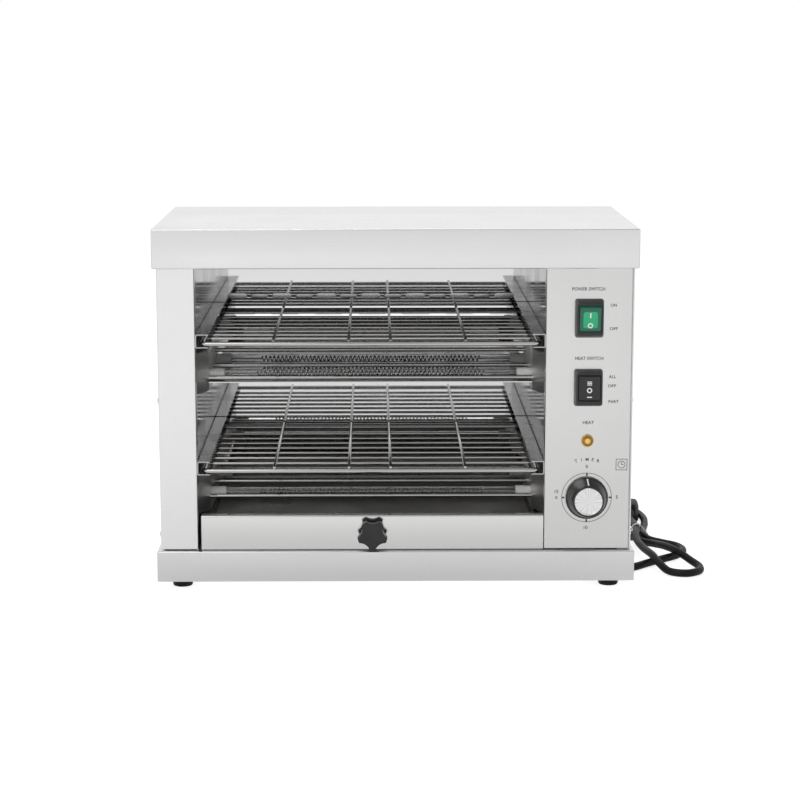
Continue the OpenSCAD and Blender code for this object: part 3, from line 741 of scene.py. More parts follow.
# Darker, rougher wire for the upper rack's top wires.
DULL_WIRE = replace(
    RACK_WIRE, name="dark_top_wire", colour=(0.30, 0.29, 0.28), roughness=0.24, wear=0.06,
    relief=0.004)
PLATED_STEEL = Finish(
    "zinc_plated_steel", Slot.PLATED, (0.66, 0.66, 0.64), 0.3, even(500.0), metallic=1.0,
    tone=0.06, wear=0.08, patches=60.0)
QUARTZ = Finish(
    "quartz_glass", Slot.QUARTZ, (0.97, 0.98, 0.98), 0.03, (20.0, 60.0, 60.0), tone=0.01,
    wear=0.01, relief=0.001, strength=0.1, transmission=1.0, ior=1.46)
HEATING_WIRE = Finish(
    "oxidised_heating_wire", Slot.COIL, (0.20, 0.19, 0.18), 0.4, even(200.0), metallic=0.7,
    tone=0.15, wear=0.1, patches=90.0)
CERAMIC = Finish(
    "white_ceramic", Slot.CERAMIC, (0.90, 0.89, 0.86), 0.36, even(900.0), tone=0.05,
    wear=0.08, patches=60.0, relief=0.03, subsurface=0.1)
BLACK_PLASTIC = Finish(
    "satin_black_plastic", Slot.BLACK, (0.034, 0.033, 0.036), 0.4, even(1800.0), tone=0.2,
    wear=0.06, patches=50.0, relief=0.02)
KNOB_PLASTIC = replace(
    BLACK_PLASTIC, name="moulded_knob_plastic", colour=(0.020, 0.020, 0.021), roughness=0.36,
    grain=even(1500.0), wear=0.08, patches=60.0)
GLOSSY_BLACK = Finish(
    "polished_black_plastic", Slot.GLOSSY, (0.010, 0.010, 0.011), 0.1, even(300.0), tone=0.2,
    wear=0.04, patches=70.0, relief=0.003, coat=0.4, ior=1.46)
GREEN_PLASTIC = Finish(
    "clear_green_plastic", Slot.GREEN, (0.01, 0.15, 0.085), 0.2, even(700.0), tone=0.12,
    wear=0.04, patches=90.0, coat=0.4, subsurface=0.3, glow=0.2)
BRIGHT_GREEN = replace(
    GREEN_PLASTIC, name="bright_green_plastic", colour=(0.01, 0.42, 0.20), grain=even(300.0),
    tone=0.2, patches=160.0, glow=0.35)
AMBER_PLASTIC = Finish(
    "amber_lens_plastic", Slot.AMBER, (0.50, 0.22, 0.015), 0.1, even(420.0), tone=0.5,
    wear=0.04, patches=150.0, relief=0.02, coat=1.0, glow=0.1)
LIT_AMBER = replace(
    AMBER_PLASTIC, name="lit_amber_plastic", colour=(0.92, 0.62, 0.14), tone=0.2,
    relief=0.01, glow=0.35)
GREY_PLASTIC = Finish(
    "grey_moulded_plastic", Slot.GREY, (0.45, 0.44, 0.40), 0.45, even(900.0), tone=0.08,
    wear=0.08, patches=40.0, relief=0.02)
WHITE_PLASTIC = Finish(
    "soft_white_plastic", Slot.WHITE, even(0.80), 0.4, even(900.0), wear=0.06, patches=60.0)
# The white print glows: painted light that brightens it.
GLOWING_WHITE_PRINT = Finish(
    "white_print", Slot.WHITE, (0.86, 0.87, 0.86), 0.5, even(2500.0), relief=0.005, glow=0.3)
GREY_PRINT = Finish(
    "grey_print", Slot.BLACK, even(0.13), 0.5, even(2500.0), tone=0.25, relief=0.005)
DARK_PRINT = replace(GREY_PRINT, name="dark_print", colour=even(0.035))
BLACK_RUBBER = Finish(
    "moulded_black_rubber", Slot.RUBBER, even(0.016), 0.55, even(1400.0), tone=0.25,
    wear=0.1, patches=60.0, relief=0.04, ior=1.35)
CORD_RUBBER = Finish(
    "black_cord_rubber", Slot.RUBBER, (0.013, 0.013, 0.014), 0.46, even(900.0), tone=0.25,
    wear=0.08, patches=40.0, relief=0.02, ior=1.28)
BRASS = Finish(
    "polished_brass", Slot.BRASS, (0.72, 0.55, 0.24), 0.22, (900.0, 60.0, 900.0),
    metallic=1.0, tone=0.08, wear=0.08, patches=80.0)


def dress(
    piece: Piece, finish: Finish, *nodes: str, body: Body = Body.CASE, angle: float = 32
) -> Piece:
    """Give a finished piece its finish and its body, and hide the solids that it stands for.

    Args:
        piece: The piece.
        finish: Its finish, which knows its slot.
        *nodes: Solids that it replaces.
        body: The body that it moves with.
        angle: Edges flatter than this many degrees are shaded smooth.

    Returns:
        The piece.
    """
    piece.data.materials.clear()
    piece.data.materials.append(finish.material())
    if piece.type == "MESH":
        take(piece)
        bpy.ops.object.shade_smooth_by_angle(angle=math.radians(angle))
    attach(piece, body.value)
    if nodes:
        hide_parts(*nodes)
    LOG.info("%s on %s in %s", piece.name, body.value, finish.name)
    return piece


# ------------------------------------------------------------------ mains lead


@dataclass
class MainsLead:
    """The cord in its tied loops, with its strain relief, tie and plug."""

    diameter: float = 7.6
    length: float = 1.322
    corner: tuple[float, float] = (225.0, 246.0)
    outlet: tuple[float, float, float] = (196.0, 244.0, 52.0)
    tied: tuple[tuple[float, float], ...] = ((247.2, 5.1), (258.2, 5.1), (251.4, 12.6))
    tie_depth: float = 196.0
    tie_width: float = 4.0
    tie_room: float = 0.5
    tie_wall: float = 0.9
    sleeve_ribs: int = 6
    rib_pitch: float = 5.0
    plug_yaw: float = -3.0
    plug_gap: float = 0.3
    plug_rest: float = 0.1
    plug_height: float = 22.0
    plug_waist: float = 9.0
    plug_half_w: float = 13.0
    plug_neck: tuple[float, float] = (16.0, 26.0)
    plug_grip: float = 20.0
    grip_ribs: int = 4
    grip_rib: float = 1.2
    blade_gap: float = 12.7
    blade: tuple[float, float, float] = (1.5, 17.0, 6.3)
    route: list[tuple[float, float, float]] = field(default_factory=lambda: [
        (-29, -10, 52), (-29, 40, 52), (-33, 66, 46), (-44, 84, 32), (-58, 84, 16),
        (-66, 64, 7.6), (-68, 36, 5), (-68, 0, 4.1), (-68, -60, 3.95), (-66, -140, 3.9),
        (-57, -172, 3.9), (-37, -187, 3.9), (-12, -186, 3.9), (9, -175, 3.9), (24, -160, 3.9),
        (42, -143, 3.9), (58, -127, 3.9), (66, -108, 3.9), (62, -90, 3.9), (50, -77, 3.9),
        (39, -66, 4.3), (33.4, -50, 4.9), (36.5, -20, 4.4), (42, 10, 4), (43.2, 44, 3.9),
        (34, 74, 3.9), (9, 85, 3.9), (-14, 70, 3.9), (-14, 38, 3.9), (2, 8, 4.1),
        (15, -22, 4.6), (22, -50, 4.9), (28.5, -76, 5.2), (37.5, -100, 8.8),
        (46.5, -124, 11.8), (56, -145, 11.4), (66, -161, 6.8), (72.4, -176, 4.4),
        (70.2, -191, 4), (56.3, -201, 4), (41, -195.5, 4.5), (33, -180, 8.4), (28.5, -162, 12),
        (23, -134, 12.6), (20.5, -100, 12.7), (22, -74, 12.8), (26, -50, 12.8),
        (25, -20, 12.4), (23.5, 4, 11.6),
    ])

    def points(self) -> list[Vector]:
        """The route in metres, in the melter's frame."""
        x, d = self.corner
        return [at(x + px, d + py, pz) for px, py, pz in self.route]

    def cord(self) -> Piece:
        """One open curve along the route, smoothed as the solid cord is.

        Returns:
            The cord.
        """
        points = self.points()
        steps = [(b - a).length for a, b in zip(points, points[1:])]
        headings = [(points[1] - points[0]) / steps[0]]
        for i in range(1, len(points) - 1):
            before, after = steps[i - 1], steps[i]
            headings.append((
                (points[i] - points[i - 1]) / before * after
                + (points[i + 1] - points[i]) / after * before) / (before + after))
        headings.append((points[-1] - points[-2]) / steps[-1])
        curve = bpy.data.curves.new("mains_cord_line", "CURVE")
        curve.dimensions = "3D"
        curve.resolution_u = 8
        curve.bevel_depth = self.diameter * MM / 2
        curve.bevel_resolution = 4
        curve.use_fill_caps = True
        spline = curve.splines.new("BEZIER")
        spline.bezier_points.add(len(points) - 1)
        for i, (knot, point, heading) in enumerate(zip(spline.bezier_points, points, headings)):
            knot.handle_left_type = knot.handle_right_type = "FREE"
            knot.co = point
            knot.handle_left = point - heading * steps[max(i - 1, 0)] / 3
            knot.handle_right = point + heading * steps[min(i, len(steps) - 1)] / 3
        cord = bpy.data.objects.new("mains_lead", curve)
        bpy.context.scene.collection.objects.link(cord)
        return cord

    def relief(self) -> Piece:
        """Ribbed sleeve that tapers along the cord from the back panel.

        Returns:
            The sleeve.
        """
        rings = [(4.1, -2.0), (5.8, -2.0), (5.9, 0.0), (8.2, 0.0), (8.5, 0.4), (8.5, 2.6),
                 (8.1, 3.0), (6.6, 3.0)]
        for i in range(self.sleeve_ribs):
            wide = 6.5 - 0.3 * i
            foot = 5.2 + self.rib_pitch * i
            rings += [(wide, foot), (wide - 0.8, foot + 0.5), (wide - 0.8, foot + 1.8),
                      (wide - 0.15, foot + 2.3)]
        rings += [(4.7, 36.4), (4.4, 37.0), (3.85, 37.0), (3.85, -2.0)]
        return turned("strain_relief_sleeve", rings, at(*self.outlet), BACK, sides=40)

    def tie(self) -> Piece:
        """Thin strap drawn tight round the strands.

        Returns:
            The strap.
        """
        wide = self.diameter + 2 * (self.tie_room + self.tie_wall)
        front = self.tie_depth - self.tie_width / 2
        piece = join("cord_strap", [
            rod("strand", at(x, front, z), at(x, front + self.tie_width, z), wide, 40)
            for x, z in self.tied])
        with editing(piece, "FACE"):
            pick_all()
            bpy.ops.mesh.convex_hull()
            pick(piece, "faces", lambda face: abs(face.normal.y) > 0.5)
            bpy.ops.mesh.delete(type="FACE")
        thicken(piece, self.tie_wall)
        soften(piece, 0.2)
        return piece

    def at_plug(self, piece: Piece) -> Piece:
        """Move a piece to the cord's end from the plug's own drawing.

        Args:
            piece: The piece, drawn with the cord's entry at the origin.

        Returns:
            The piece.
        """
        yaw = Matrix.Rotation(math.radians(self.plug_yaw), 4, "Z")
        gap = Matrix.Translation(BACK * self.plug_gap * MM)
        return moved(piece, Matrix.Translation(self.points()[-1]) @ yaw @ gap)

    def plug(self) -> Piece:
        """Moulded plug with a waist, finger ribs and a ribbed boot.

        Returns:
            The plug.
        """
        low, waist = self.plug_rest - self.route[-1][2], self.plug_waist
        start, grip = self.plug_neck
        body = block("plug", mm(-waist, start, low), mm(waist, grip, low + self.plug_height))
        with editing(body, "FACE"):
            pick(body, "faces", lambda face: face.normal.y > 0.5)
            scale_about(mm(0, grip, low + self.plug_height / 2), self.plug_half_w / waist)
            extrude(BACK * self.plug_grip * MM)
            bpy.ops.mesh.select_mode(type="EDGE")
            pick(body, "edges", runs_back)
            round_edges(4.0, 5)
        soften(body, 1.0, 3, 50)
        ribs = [
            rod("rib", mm(x, y, low + 5), mm(x, y, low + 17), self.grip_rib, 12)
            for x in (0.3 - self.plug_half_w, self.plug_half_w - 0.3)
            for y in (grip + 3 + 3 * i for i in range(self.grip_ribs))]
        boot = turned(
            "boot", [(4.8, 0.0), (5.0, 0.5), (5.4, 3.0), (4.9, 3.4), (5.1, 4.6), (6.1, 5.0),
                     (6.4, 7.4), (5.8, 7.8), (6.0, 9.0), (7.1, 9.4), (7.6, 13.0), (8.0, 17.0)],
            Vector(), BACK, sides=32)
        return self.at_plug(join("moulded_plug", [body, boot, *ribs]))

    def pins(self) -> Piece:
        """Two flat blades with rounded ends and a round earth pin.

        Returns:
            The pins.
        """
        parts = []
        thick, length, tall = self.blade
        for x in (-self.blade_gap / 2, self.blade_gap / 2):
            blade = block("blade", mm(x - thick / 2, 45, -0.5),
                          mm(x + thick / 2, 45 + length, tall - 0.5))
            soften(blade, 0.6, 3, 60)
            parts.append(blade)
        parts.append(turned("earth_pin", [(2.4, -1.0), (2.4, 17.2), (1.9, 18.4), (0.9, 19.0)],
                            mm(0, 46, -5), BACK, sides=32))
        return self.at_plug(join("plug_blades", parts))

    def build(self) -> None:
        relief = dress(self.relief(), BLACK_RUBBER, "strain_relief")
        tie = dress(self.tie(), WHITE_PLASTIC, "cord_tie")
        plug = dress(self.plug(), BLACK_RUBBER, "plug_body")
        pins = dress(self.pins(), BRASS, "plug_pins")
        cord = dress(self.cord(), CORD_RUBBER, "mains_cord")


# ------------------------------------------------------------------ case


@dataclass
class Case:
    """The folded shells, the feet and the fasteners."""

    half_w: float = 225.0
    depth: float = 246.0
    top: float = 342.0
    cover_low: float = 305.0
    hem: float = 2.3
    body_x: float = 221.5
    body_front: float = 6.0
    body_back: float = 243.0
    deck: float = 38.0
    foot_h: float = 9.0
    flange: float = 12.0
    inner_fold: float = 14.0
    joggle: float = 3.0
    panel_right: float = 219.9
    panel_gap: float = 1.0
    lamp_hole: float = 9.2
    shaft_hole: float = 10.2
    slot_z: float = 227.0
    slot_w: float = 19.0
    slot_pitch: float = 45.3
    first_slot: float = -135.25
    slots: int = 6
    slit_x: tuple[float, float] = (-163.0, 115.0)
    cord_at: tuple[float, float] = (196.0, 52.0)
    cord_hole: float = 12.0
    pads_mid: tuple[float, float] = (-23.5, 249.8)
    pad_pitch: float = 23.05
    pad_count: int = 13
    foot_at: tuple[float, float] = (203.0, 24.0)
    foot_rows: float = 198.0
    side_screw_d: tuple[float, ...] = (18.0, 223.0)
    side_screw_z: tuple[float, ...] = (51.3, 179.5)
    back_screw_x: float = 215.5
    back_screw_z: tuple[float, ...] = (60.0, 189.5, 301.0)

    def cover(self) -> Piece:
        """Folded lid with its rim turned in."""
        return lid("folded_top_cover", at(-self.half_w, 0, self.cover_low),
                   at(self.half_w, self.depth, self.top), DOWN, bend=1.3, hem=self.hem)

    def plinth(self) -> Piece:
        """Folded base under the body."""
        return lid("folded_base_plinth", at(-self.half_w, 0, self.foot_h),
                   at(self.half_w, self.depth, self.deck), DOWN, bend=1.2)

    def rise(self, low: float) -> Vector:
        """From a height to the underside of the cover's plate."""
        return UP * (self.top - SHEET - low) * MM

    def left_side(self) -> Piece:
        """Side sheet folded round the front into the column and back into the chamber.

        Returns:
            The sheet.
        """
        x, inner, deck, front = -self.body_x, CHAMBER_LEFT, self.deck, self.body_front
        piece = strip(
            "folded_left_side",
            [at(x + self.flange, self.body_back, deck), at(x, self.body_back, deck),
             at(x, front, deck), at(inner, front, deck),
             at(inner, front + self.inner_fold, deck)], self.rise(deck), LEFT, bend=1.4)
        cut(piece, block("gap", at(x + 3, front - 2, deck - 1), at(inner + 2, front + 2, deck + 1)))
        return piece

    def right_side(self) -> Piece:
        """Side sheet with a joggled flange behind the control panel.

        Returns:
            The sheet.
        """
        x, deck, front, back = self.body_x, self.deck, self.body_front, self.body_back
        side = strip("side", [at(x - self.flange, back, deck), at(x, back, deck),
                              at(x, front, deck)], self.rise(deck), RIGHT, bend=1.4)
        behind = front + self.joggle
        flange = strip("flange", [at(x - self.flange, behind, deck), at(x - 0.4, behind, deck)],
                       self.rise(deck), FORWARD, bend=0)
        return join("folded_right_side", [side, flange])

    def panel(self) -> Piece:
        """Front sheet with its holes, folded back at both sides.

        Returns:
            The sheet.
        """
        low, front, behind = self.deck + self.panel_gap, self.body_front, 2 * self.body_front
        left, right = CHAMBER_RIGHT, self.panel_right
        piece = strip(
            "folded_control_panel",
            [at(left, front + self.inner_fold, low), at(left, front, low), at(right, front, low),
             at(right, front + self.joggle, low)], self.rise(low), FORWARD, bend=1.5)
        for name in ("power_switch_body", "heat_switch_body"):
            corner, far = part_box(name)
            cut(piece, block("hole", Vector((corner.x, at(0, 0, 0).y, corner.z)),
                             Vector((far.x, at(0, behind, 0).y, far.z))))
        for name, wide in (("pilot_lamp_body", self.lamp_hole), ("timer_shaft", self.shaft_hole)):
            x, _, z = sum(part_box(name), Vector()) / 2 / MM
            cut(piece, rod("hole", at(x, 0, z), at(x, behind, z), wide, 48))
        return piece

    def back(self) -> Piece:
        """Polished back sheet with vent slots and the cord hole.

        Returns:
            The sheet.
        """
        front, behind, low = self.body_back - 2, self.body_back + 3, self.slot_z
        plate = block("polished_back_panel", at(-self.body_x, self.body_back, self.deck),
                      at(self.body_x, self.body_back + SHEET, self.top - SHEET))
        cutters = []
        for i in range(self.slots):
            x = self.first_slot + i * self.slot_pitch
            slot = block("slot", at(x - self.slot_w / 2, front, low),
                         at(x + self.slot_w / 2, behind, low + 2))
            with editing(slot, "FACE"):
                pick(slot, "faces", lambda face: face.normal.z > 0.5)
                extrude(UP * 4.3 * MM)
                scale_about(at(x, self.body_back, low), 13 / self.slot_w)
            cutters.append(slot)
        left, right = self.slit_x
        cutters.append(block("slit", at(left, front, low + 1.2), at(right, behind, low + 2.6)))
        x, z = self.cord_at
        cutters.append(rod("cord_hole", at(x, front, z), at(x, behind, z), self.cord_hole, 40))
        cut(plate, *cutters)
        return plate

    def pads(self) -> Piece:
        """Pressed pads on the back sheet, with a narrow rib between each two.

        Returns:
            The pads.
        """
        pads = []
        mid, level = self.pads_mid
        for i in range(self.pad_count):
            x = mid + (i - self.pad_count // 2) * self.pad_pitch
            wide, high, bend = (18.0, 4.6, 1.3) if i % 2 else (20.0, 5.6, 0.45)
            pad = block("pad", at(x - wide / 2, self.body_back - 0.6, level - high / 2),
                        at(x + wide / 2, self.body_back + 0.2, level + high / 2))
            with editing(pad, "EDGE"):
                pick(pad, "edges", runs_back)
                round_edges(high * 0.48, 6)
                pick(pad, "edges", lambda edge: all(
                    vert.co.y < at(0, self.body_back - 0.5, 0).y for vert in edge.verts)
                    and sharp(edge))
                round_edges(bend * 0.45, 3)
            pads.append(pad)
        return join("pressed_pads", pads)

    def feet(self) -> None:
        """Four tapered rubber feet, each with a recess for its screw."""
        rings = [(4.5, 4.0), (4.5, 0.5), (5.0, 0.0), (8.6, 0.0), (9.25, 0.8), (10.35, 8.4),
                 (10.5, 9.0), (2.1, 9.0), (2.1, 4.0)]
        x, d = self.foot_at
        first = turned("rubber_foot_1", rings, at(-x, d, 0), UP, closed=True)
        across, deep = RIGHT * 2 * x * MM, BACK * self.foot_rows * MM
        for i, shift in enumerate((across, deep, across + deep)):
            foot = copied(first, f"rubber_foot_{i + 2}", Matrix.Translation(shift))
            dress(foot, BLACK_RUBBER, "rubber_feet")
        dress(first, BLACK_RUBBER, "rubber_feet")

    def screw(self, name: str, rings: Rings) -> Piece:
        """Screw standing up at the origin, with a cross cut in its head.

        Args:
            name: Name of the piece.
            rings: Its rings, the last one on its head.

        Returns:
            The screw.
        """
        piece = turned(name, rings, Vector(), UP, sides=32)
        top = rings[-1][1]
        for wide, deep in ((0.45, 1.9), (1.9, 0.45)):
            cut(piece, block("cross", mm(-wide, -deep, top - 1), mm(wide, deep, top + 1)))
        return piece

    def fasten(self, screw: Piece, name: str, places: Sequence[tuple[Vector, Vector]]) -> None:
        """Copy a screw to its places and throw it away.

        Args:
            screw: The screw, standing up at the origin.
            name: Name of the copies before their number, and of their solid with an s.
            places: Each place, and where the head points there.
        """
        for i, (place, facing) in enumerate(places):
            twin = copied(screw, f"{name}_{i + 1}", Matrix.Translation(place) @ towards(facing))
            dress(twin, PLATED_STEEL, f"{name}s")
        bpy.data.objects.remove(screw)

    def fasteners(self) -> None:
        """Domed screws in the sides and pan-head screws in the back."""
        dome = self.screw("dome_screw", [
            (2.0, -6.0), (2.0, 0.0), (4.2, 0.0), (4.15, 0.25), (3.6, 0.85), (2.7, 1.45),
            (1.6, 1.85), (0.6, 2.0)])
        self.fasten(dome, "side_screw", [
            (at(side * self.body_x, d, z), RIGHT * side) for side in (-1, 1)
            for d in self.side_screw_d for z in self.side_screw_z])
        pan = self.screw("pan_screw", [
            (1.5, -5.0), (1.5, 0.0), (3.3, 0.0), (3.3, 1.1), (2.9, 1.6), (2.2, 1.9), (0.8, 1.9)])
        self.fasten(pan, "back_screw", [
            (at(side * self.back_screw_x, self.body_back + SHEET, z), BACK)
            for side in (-1, 1) for z in self.back_screw_z])

    def build(self) -> None:
        """Make the case."""
        dress(self.cover(), CASE_STEEL, "top_cover")
        dress(self.plinth(), SHADED_BASE_STEEL, "base_plinth")
        dress(self.left_side(), LIT_UPRIGHT_STEEL, "left_side_panel")
        dress(self.right_side(), LIT_UPRIGHT_STEEL, "right_side_panel")
        dress(self.panel(), SHADED_PANEL_STEEL, "control_panel")
        dress(self.back(), MIRROR_STEEL, "back_panel")
        dress(self.pads(), PAD_STEEL, "back_panel")
        self.feet()
        self.fasteners()


# ------------------------------------------------------------------ chamber


@dataclass
class Racks:
    """Two wire racks and the four channels that carry them."""

    left: float = -180.3
    right: float = 133.3
    front: float = 10.0
    rear: float = 236.0
    corner: float = 5.0
    frame_wire: float = 4.4
    thin_wire: float = 2.8
    first_row: float = 45.5
    pitch: float = 24.7
    pitches: int = 7
    last_row: float = 230.5
    top_wire_x: tuple[float, ...] = (-114.2, -44.0, -5.0, 65.2)
    heights: tuple[float, float] = (113.5, 234.0)
    rail_w: float = 12.0
    rail_under: float = 3.8
    rail_over: float = 9.2
    rail_front: float = 8.0
    rail_length: float = 232.0

    def frame_loop(self) -> Piece:
        """Frame wire at height 0, extruded along each side and spun round each corner.

        Returns:
            The wire.
        """
        corner = self.corner
        loop = made("frame_wire", bpy.ops.mesh.primitive_circle_add, vertices=16,
                    radius=self.frame_wire * MM / 2, rotation=(0, math.pi / 2, 0),
                    location=at(self.left + corner, self.front, 0))
        wide = self.right - self.left - 2 * corner
        deep = self.rear - self.front - 2 * corner
        runs = [
            (RIGHT * wide, (self.right - corner, self.front + corner)),
            (BACK * deep, (self.right - corner, self.rear - corner)),
            (LEFT * wide, (self.left + corner, self.rear - corner)),
            (FORWARD * deep, (self.left + corner, self.front + corner)),
        ]
        with editing(loop):
            pick_all()
            for shift, (x, d) in runs:
                extrude(shift * MM)
                bpy.ops.mesh.spin(
                    steps=8, angle=-math.pi / 2, center=tuple(at(x, d, 0)), axis=(0, 0, 1))
        face_outwards(loop)
        return loop

    def rack(self, name: str) -> Piece:
        """Frame and row wires at height 0.

        Args:
            name: Name of the piece.

        Returns:
            The rack without its top wires.
        """
        rows = [*(self.first_row + i * self.pitch for i in range(self.pitches)), self.last_row]
        return join(name, [self.frame_loop(), *(
            rod("row_wire", at(self.left, d, 0), at(self.right, d, 0), self.thin_wire, 16)
            for d in rows)])

    def top_wires(self, name: str) -> Piece:
        """Wires welded across the top of a rack at height 0.

        Args:
            name: Name of the piece.

        Returns:
            The wires.
        """
        wires = []
        rise = (self.frame_wire + self.thin_wire) / 2 - 0.6
        for x in self.top_wire_x:
            wire = rod("top_wire", at(x, self.front - 0.4, rise), at(x, self.rear + 0.4, rise),
                       self.thin_wire, 16)
            soften(wire, 0.6, 2, 60)
            wires.append(wire)
        return join(name, wires)

    def channel(self, name: str, rack_z: float) -> Piece:
        """Left channel, open towards the chamber.

        Args:
            name: Name of the piece.
            rack_z: Height of the rack's frame wire.

        Returns:
            The channel.
        """
        wall, edge, d = CHAMBER_LEFT, CHAMBER_LEFT + self.rail_w, self.rail_front
        low, high = rack_z - self.rail_under, rack_z + self.rail_over
        return strip(name, [at(edge, d, low), at(wall, d, low), at(wall, d, high),
                            at(edge, d, high)], BACK * self.rail_length * MM, LEFT)

    def build(self) -> None:
        """Make the racks and their channels."""
        low, high = self.heights
        rise = Matrix.Translation(UP * (high - low) * MM)
        for part, make, upper_finish in (
            ("wire_rack", self.rack, RACK_WIRE), ("rack_top_wires", self.top_wires, DULL_WIRE),
        ):
            below = moved(make(f"lower_{part}"), Matrix.Translation(UP * low * MM))
            above = copied(below, f"upper_{part}", rise)
            dress(below, RACK_WIRE, "lower_rack", body=Body.RACK_BELOW)
            dress(above, upper_finish, "upper_rack", body=Body.RACK_ABOVE)
        for level, z in (("lower", low), ("upper", high)):
            left = self.channel(f"{level}_left_channel", z)
            right = copied(left, f"{level}_right_channel", across_chamber())
            dress(left, SHADED_RAIL_STEEL, f"{level}_left_rail")
            dress(right, SHADED_RAIL_STEEL, f"{level}_right_rail")


@dataclass
class CrumbTray:
    """Pan behind a folded front plate, with its five-lobed grip."""

    left: float = -183.2
    right: float = 139.0
    low: float = 38.5
    high: float = 71.5
    front: float = 6.0
    lip: float = 8.0
    pan_front: float = 7.2
    pan_back: float = 235.0
    pan_h: float = 16.5
    knob_x: float = -22.1
    knob_z: float = 57.0
    knob_front: float = -19.0
    knob_d: float = 28.0
    knob_thick: float = 10.0
    lobes: int = 5
    flank_d: float = 20.2
    flank_reach: float = 20.6

    def plate(self) -> Piece:
        """Front plate with its folded lip.

        Returns:
            The plate.
        """
        return strip(
            "tray_front_plate",
            [at(self.left, self.front, self.low), at(self.left, self.front, self.high),
             at(self.left, self.front + self.lip, self.high)],
            RIGHT * (self.right - self.left) * MM, FORWARD, bend=1.6)

    def pan(self) -> Piece:
        """Shallow pan behind the front plate."""
        return lid("crumb_pan", at(self.left + 2, self.pan_front, self.low),
                   at(self.right - 2, self.pan_back, self.low + self.pan_h), UP, bend=2.0)

    def knob(self) -> Piece:
        """Star grip with hollow flanks, one lobe straight down, and its neck.

        Returns:
            The grip.
        """
        x, z, front = self.knob_x, self.knob_z, self.knob_front
        behind = front + self.knob_thick
        star = rod("star", at(x, front, z), at(x, behind, z), self.knob_d, 80)
        for i in range(self.lobes):
            turn = math.radians(90 + 360 / self.lobes * i)
            cx = x + self.flank_reach * math.cos(turn)
            cz = z + self.flank_reach * math.sin(turn)
            cut(star, rod("flank", at(cx, front - 2, cz), at(cx, behind + 2, cz), self.flank_d, 64))
        soften(star, 1.7, 4, 35)
        cut(star, made("dimple", bpy.ops.mesh.primitive_uv_sphere_add, segments=24,
                       ring_count=16, radius=2 * MM, location=at(x - 1.6, front - 1.5, z - 3.4)))
        neck = turned(
            "neck", [(10.2, 0.0), (10.4, 0.8), (9.6, 2.4), (6.9, 4.2), (6.5, 6.0), (6.5, 14.4),
                     (7.4, 15.6)], at(x, front + 9.4, z), BACK, sides=48)
        return join("star_grip", [star, neck])

    def build(self) -> None:
        """Make the tray and its grip."""
        dress(self.plate(), SHADED_TRAY_STEEL, "crumb_tray", body=Body.TRAY)
        dress(self.pan(), PAN_STEEL, "crumb_tray", body=Body.TRAY)
        dress(self.knob(), KNOB_PLASTIC, "tray_knob", body=Body.TRAY, angle=40)


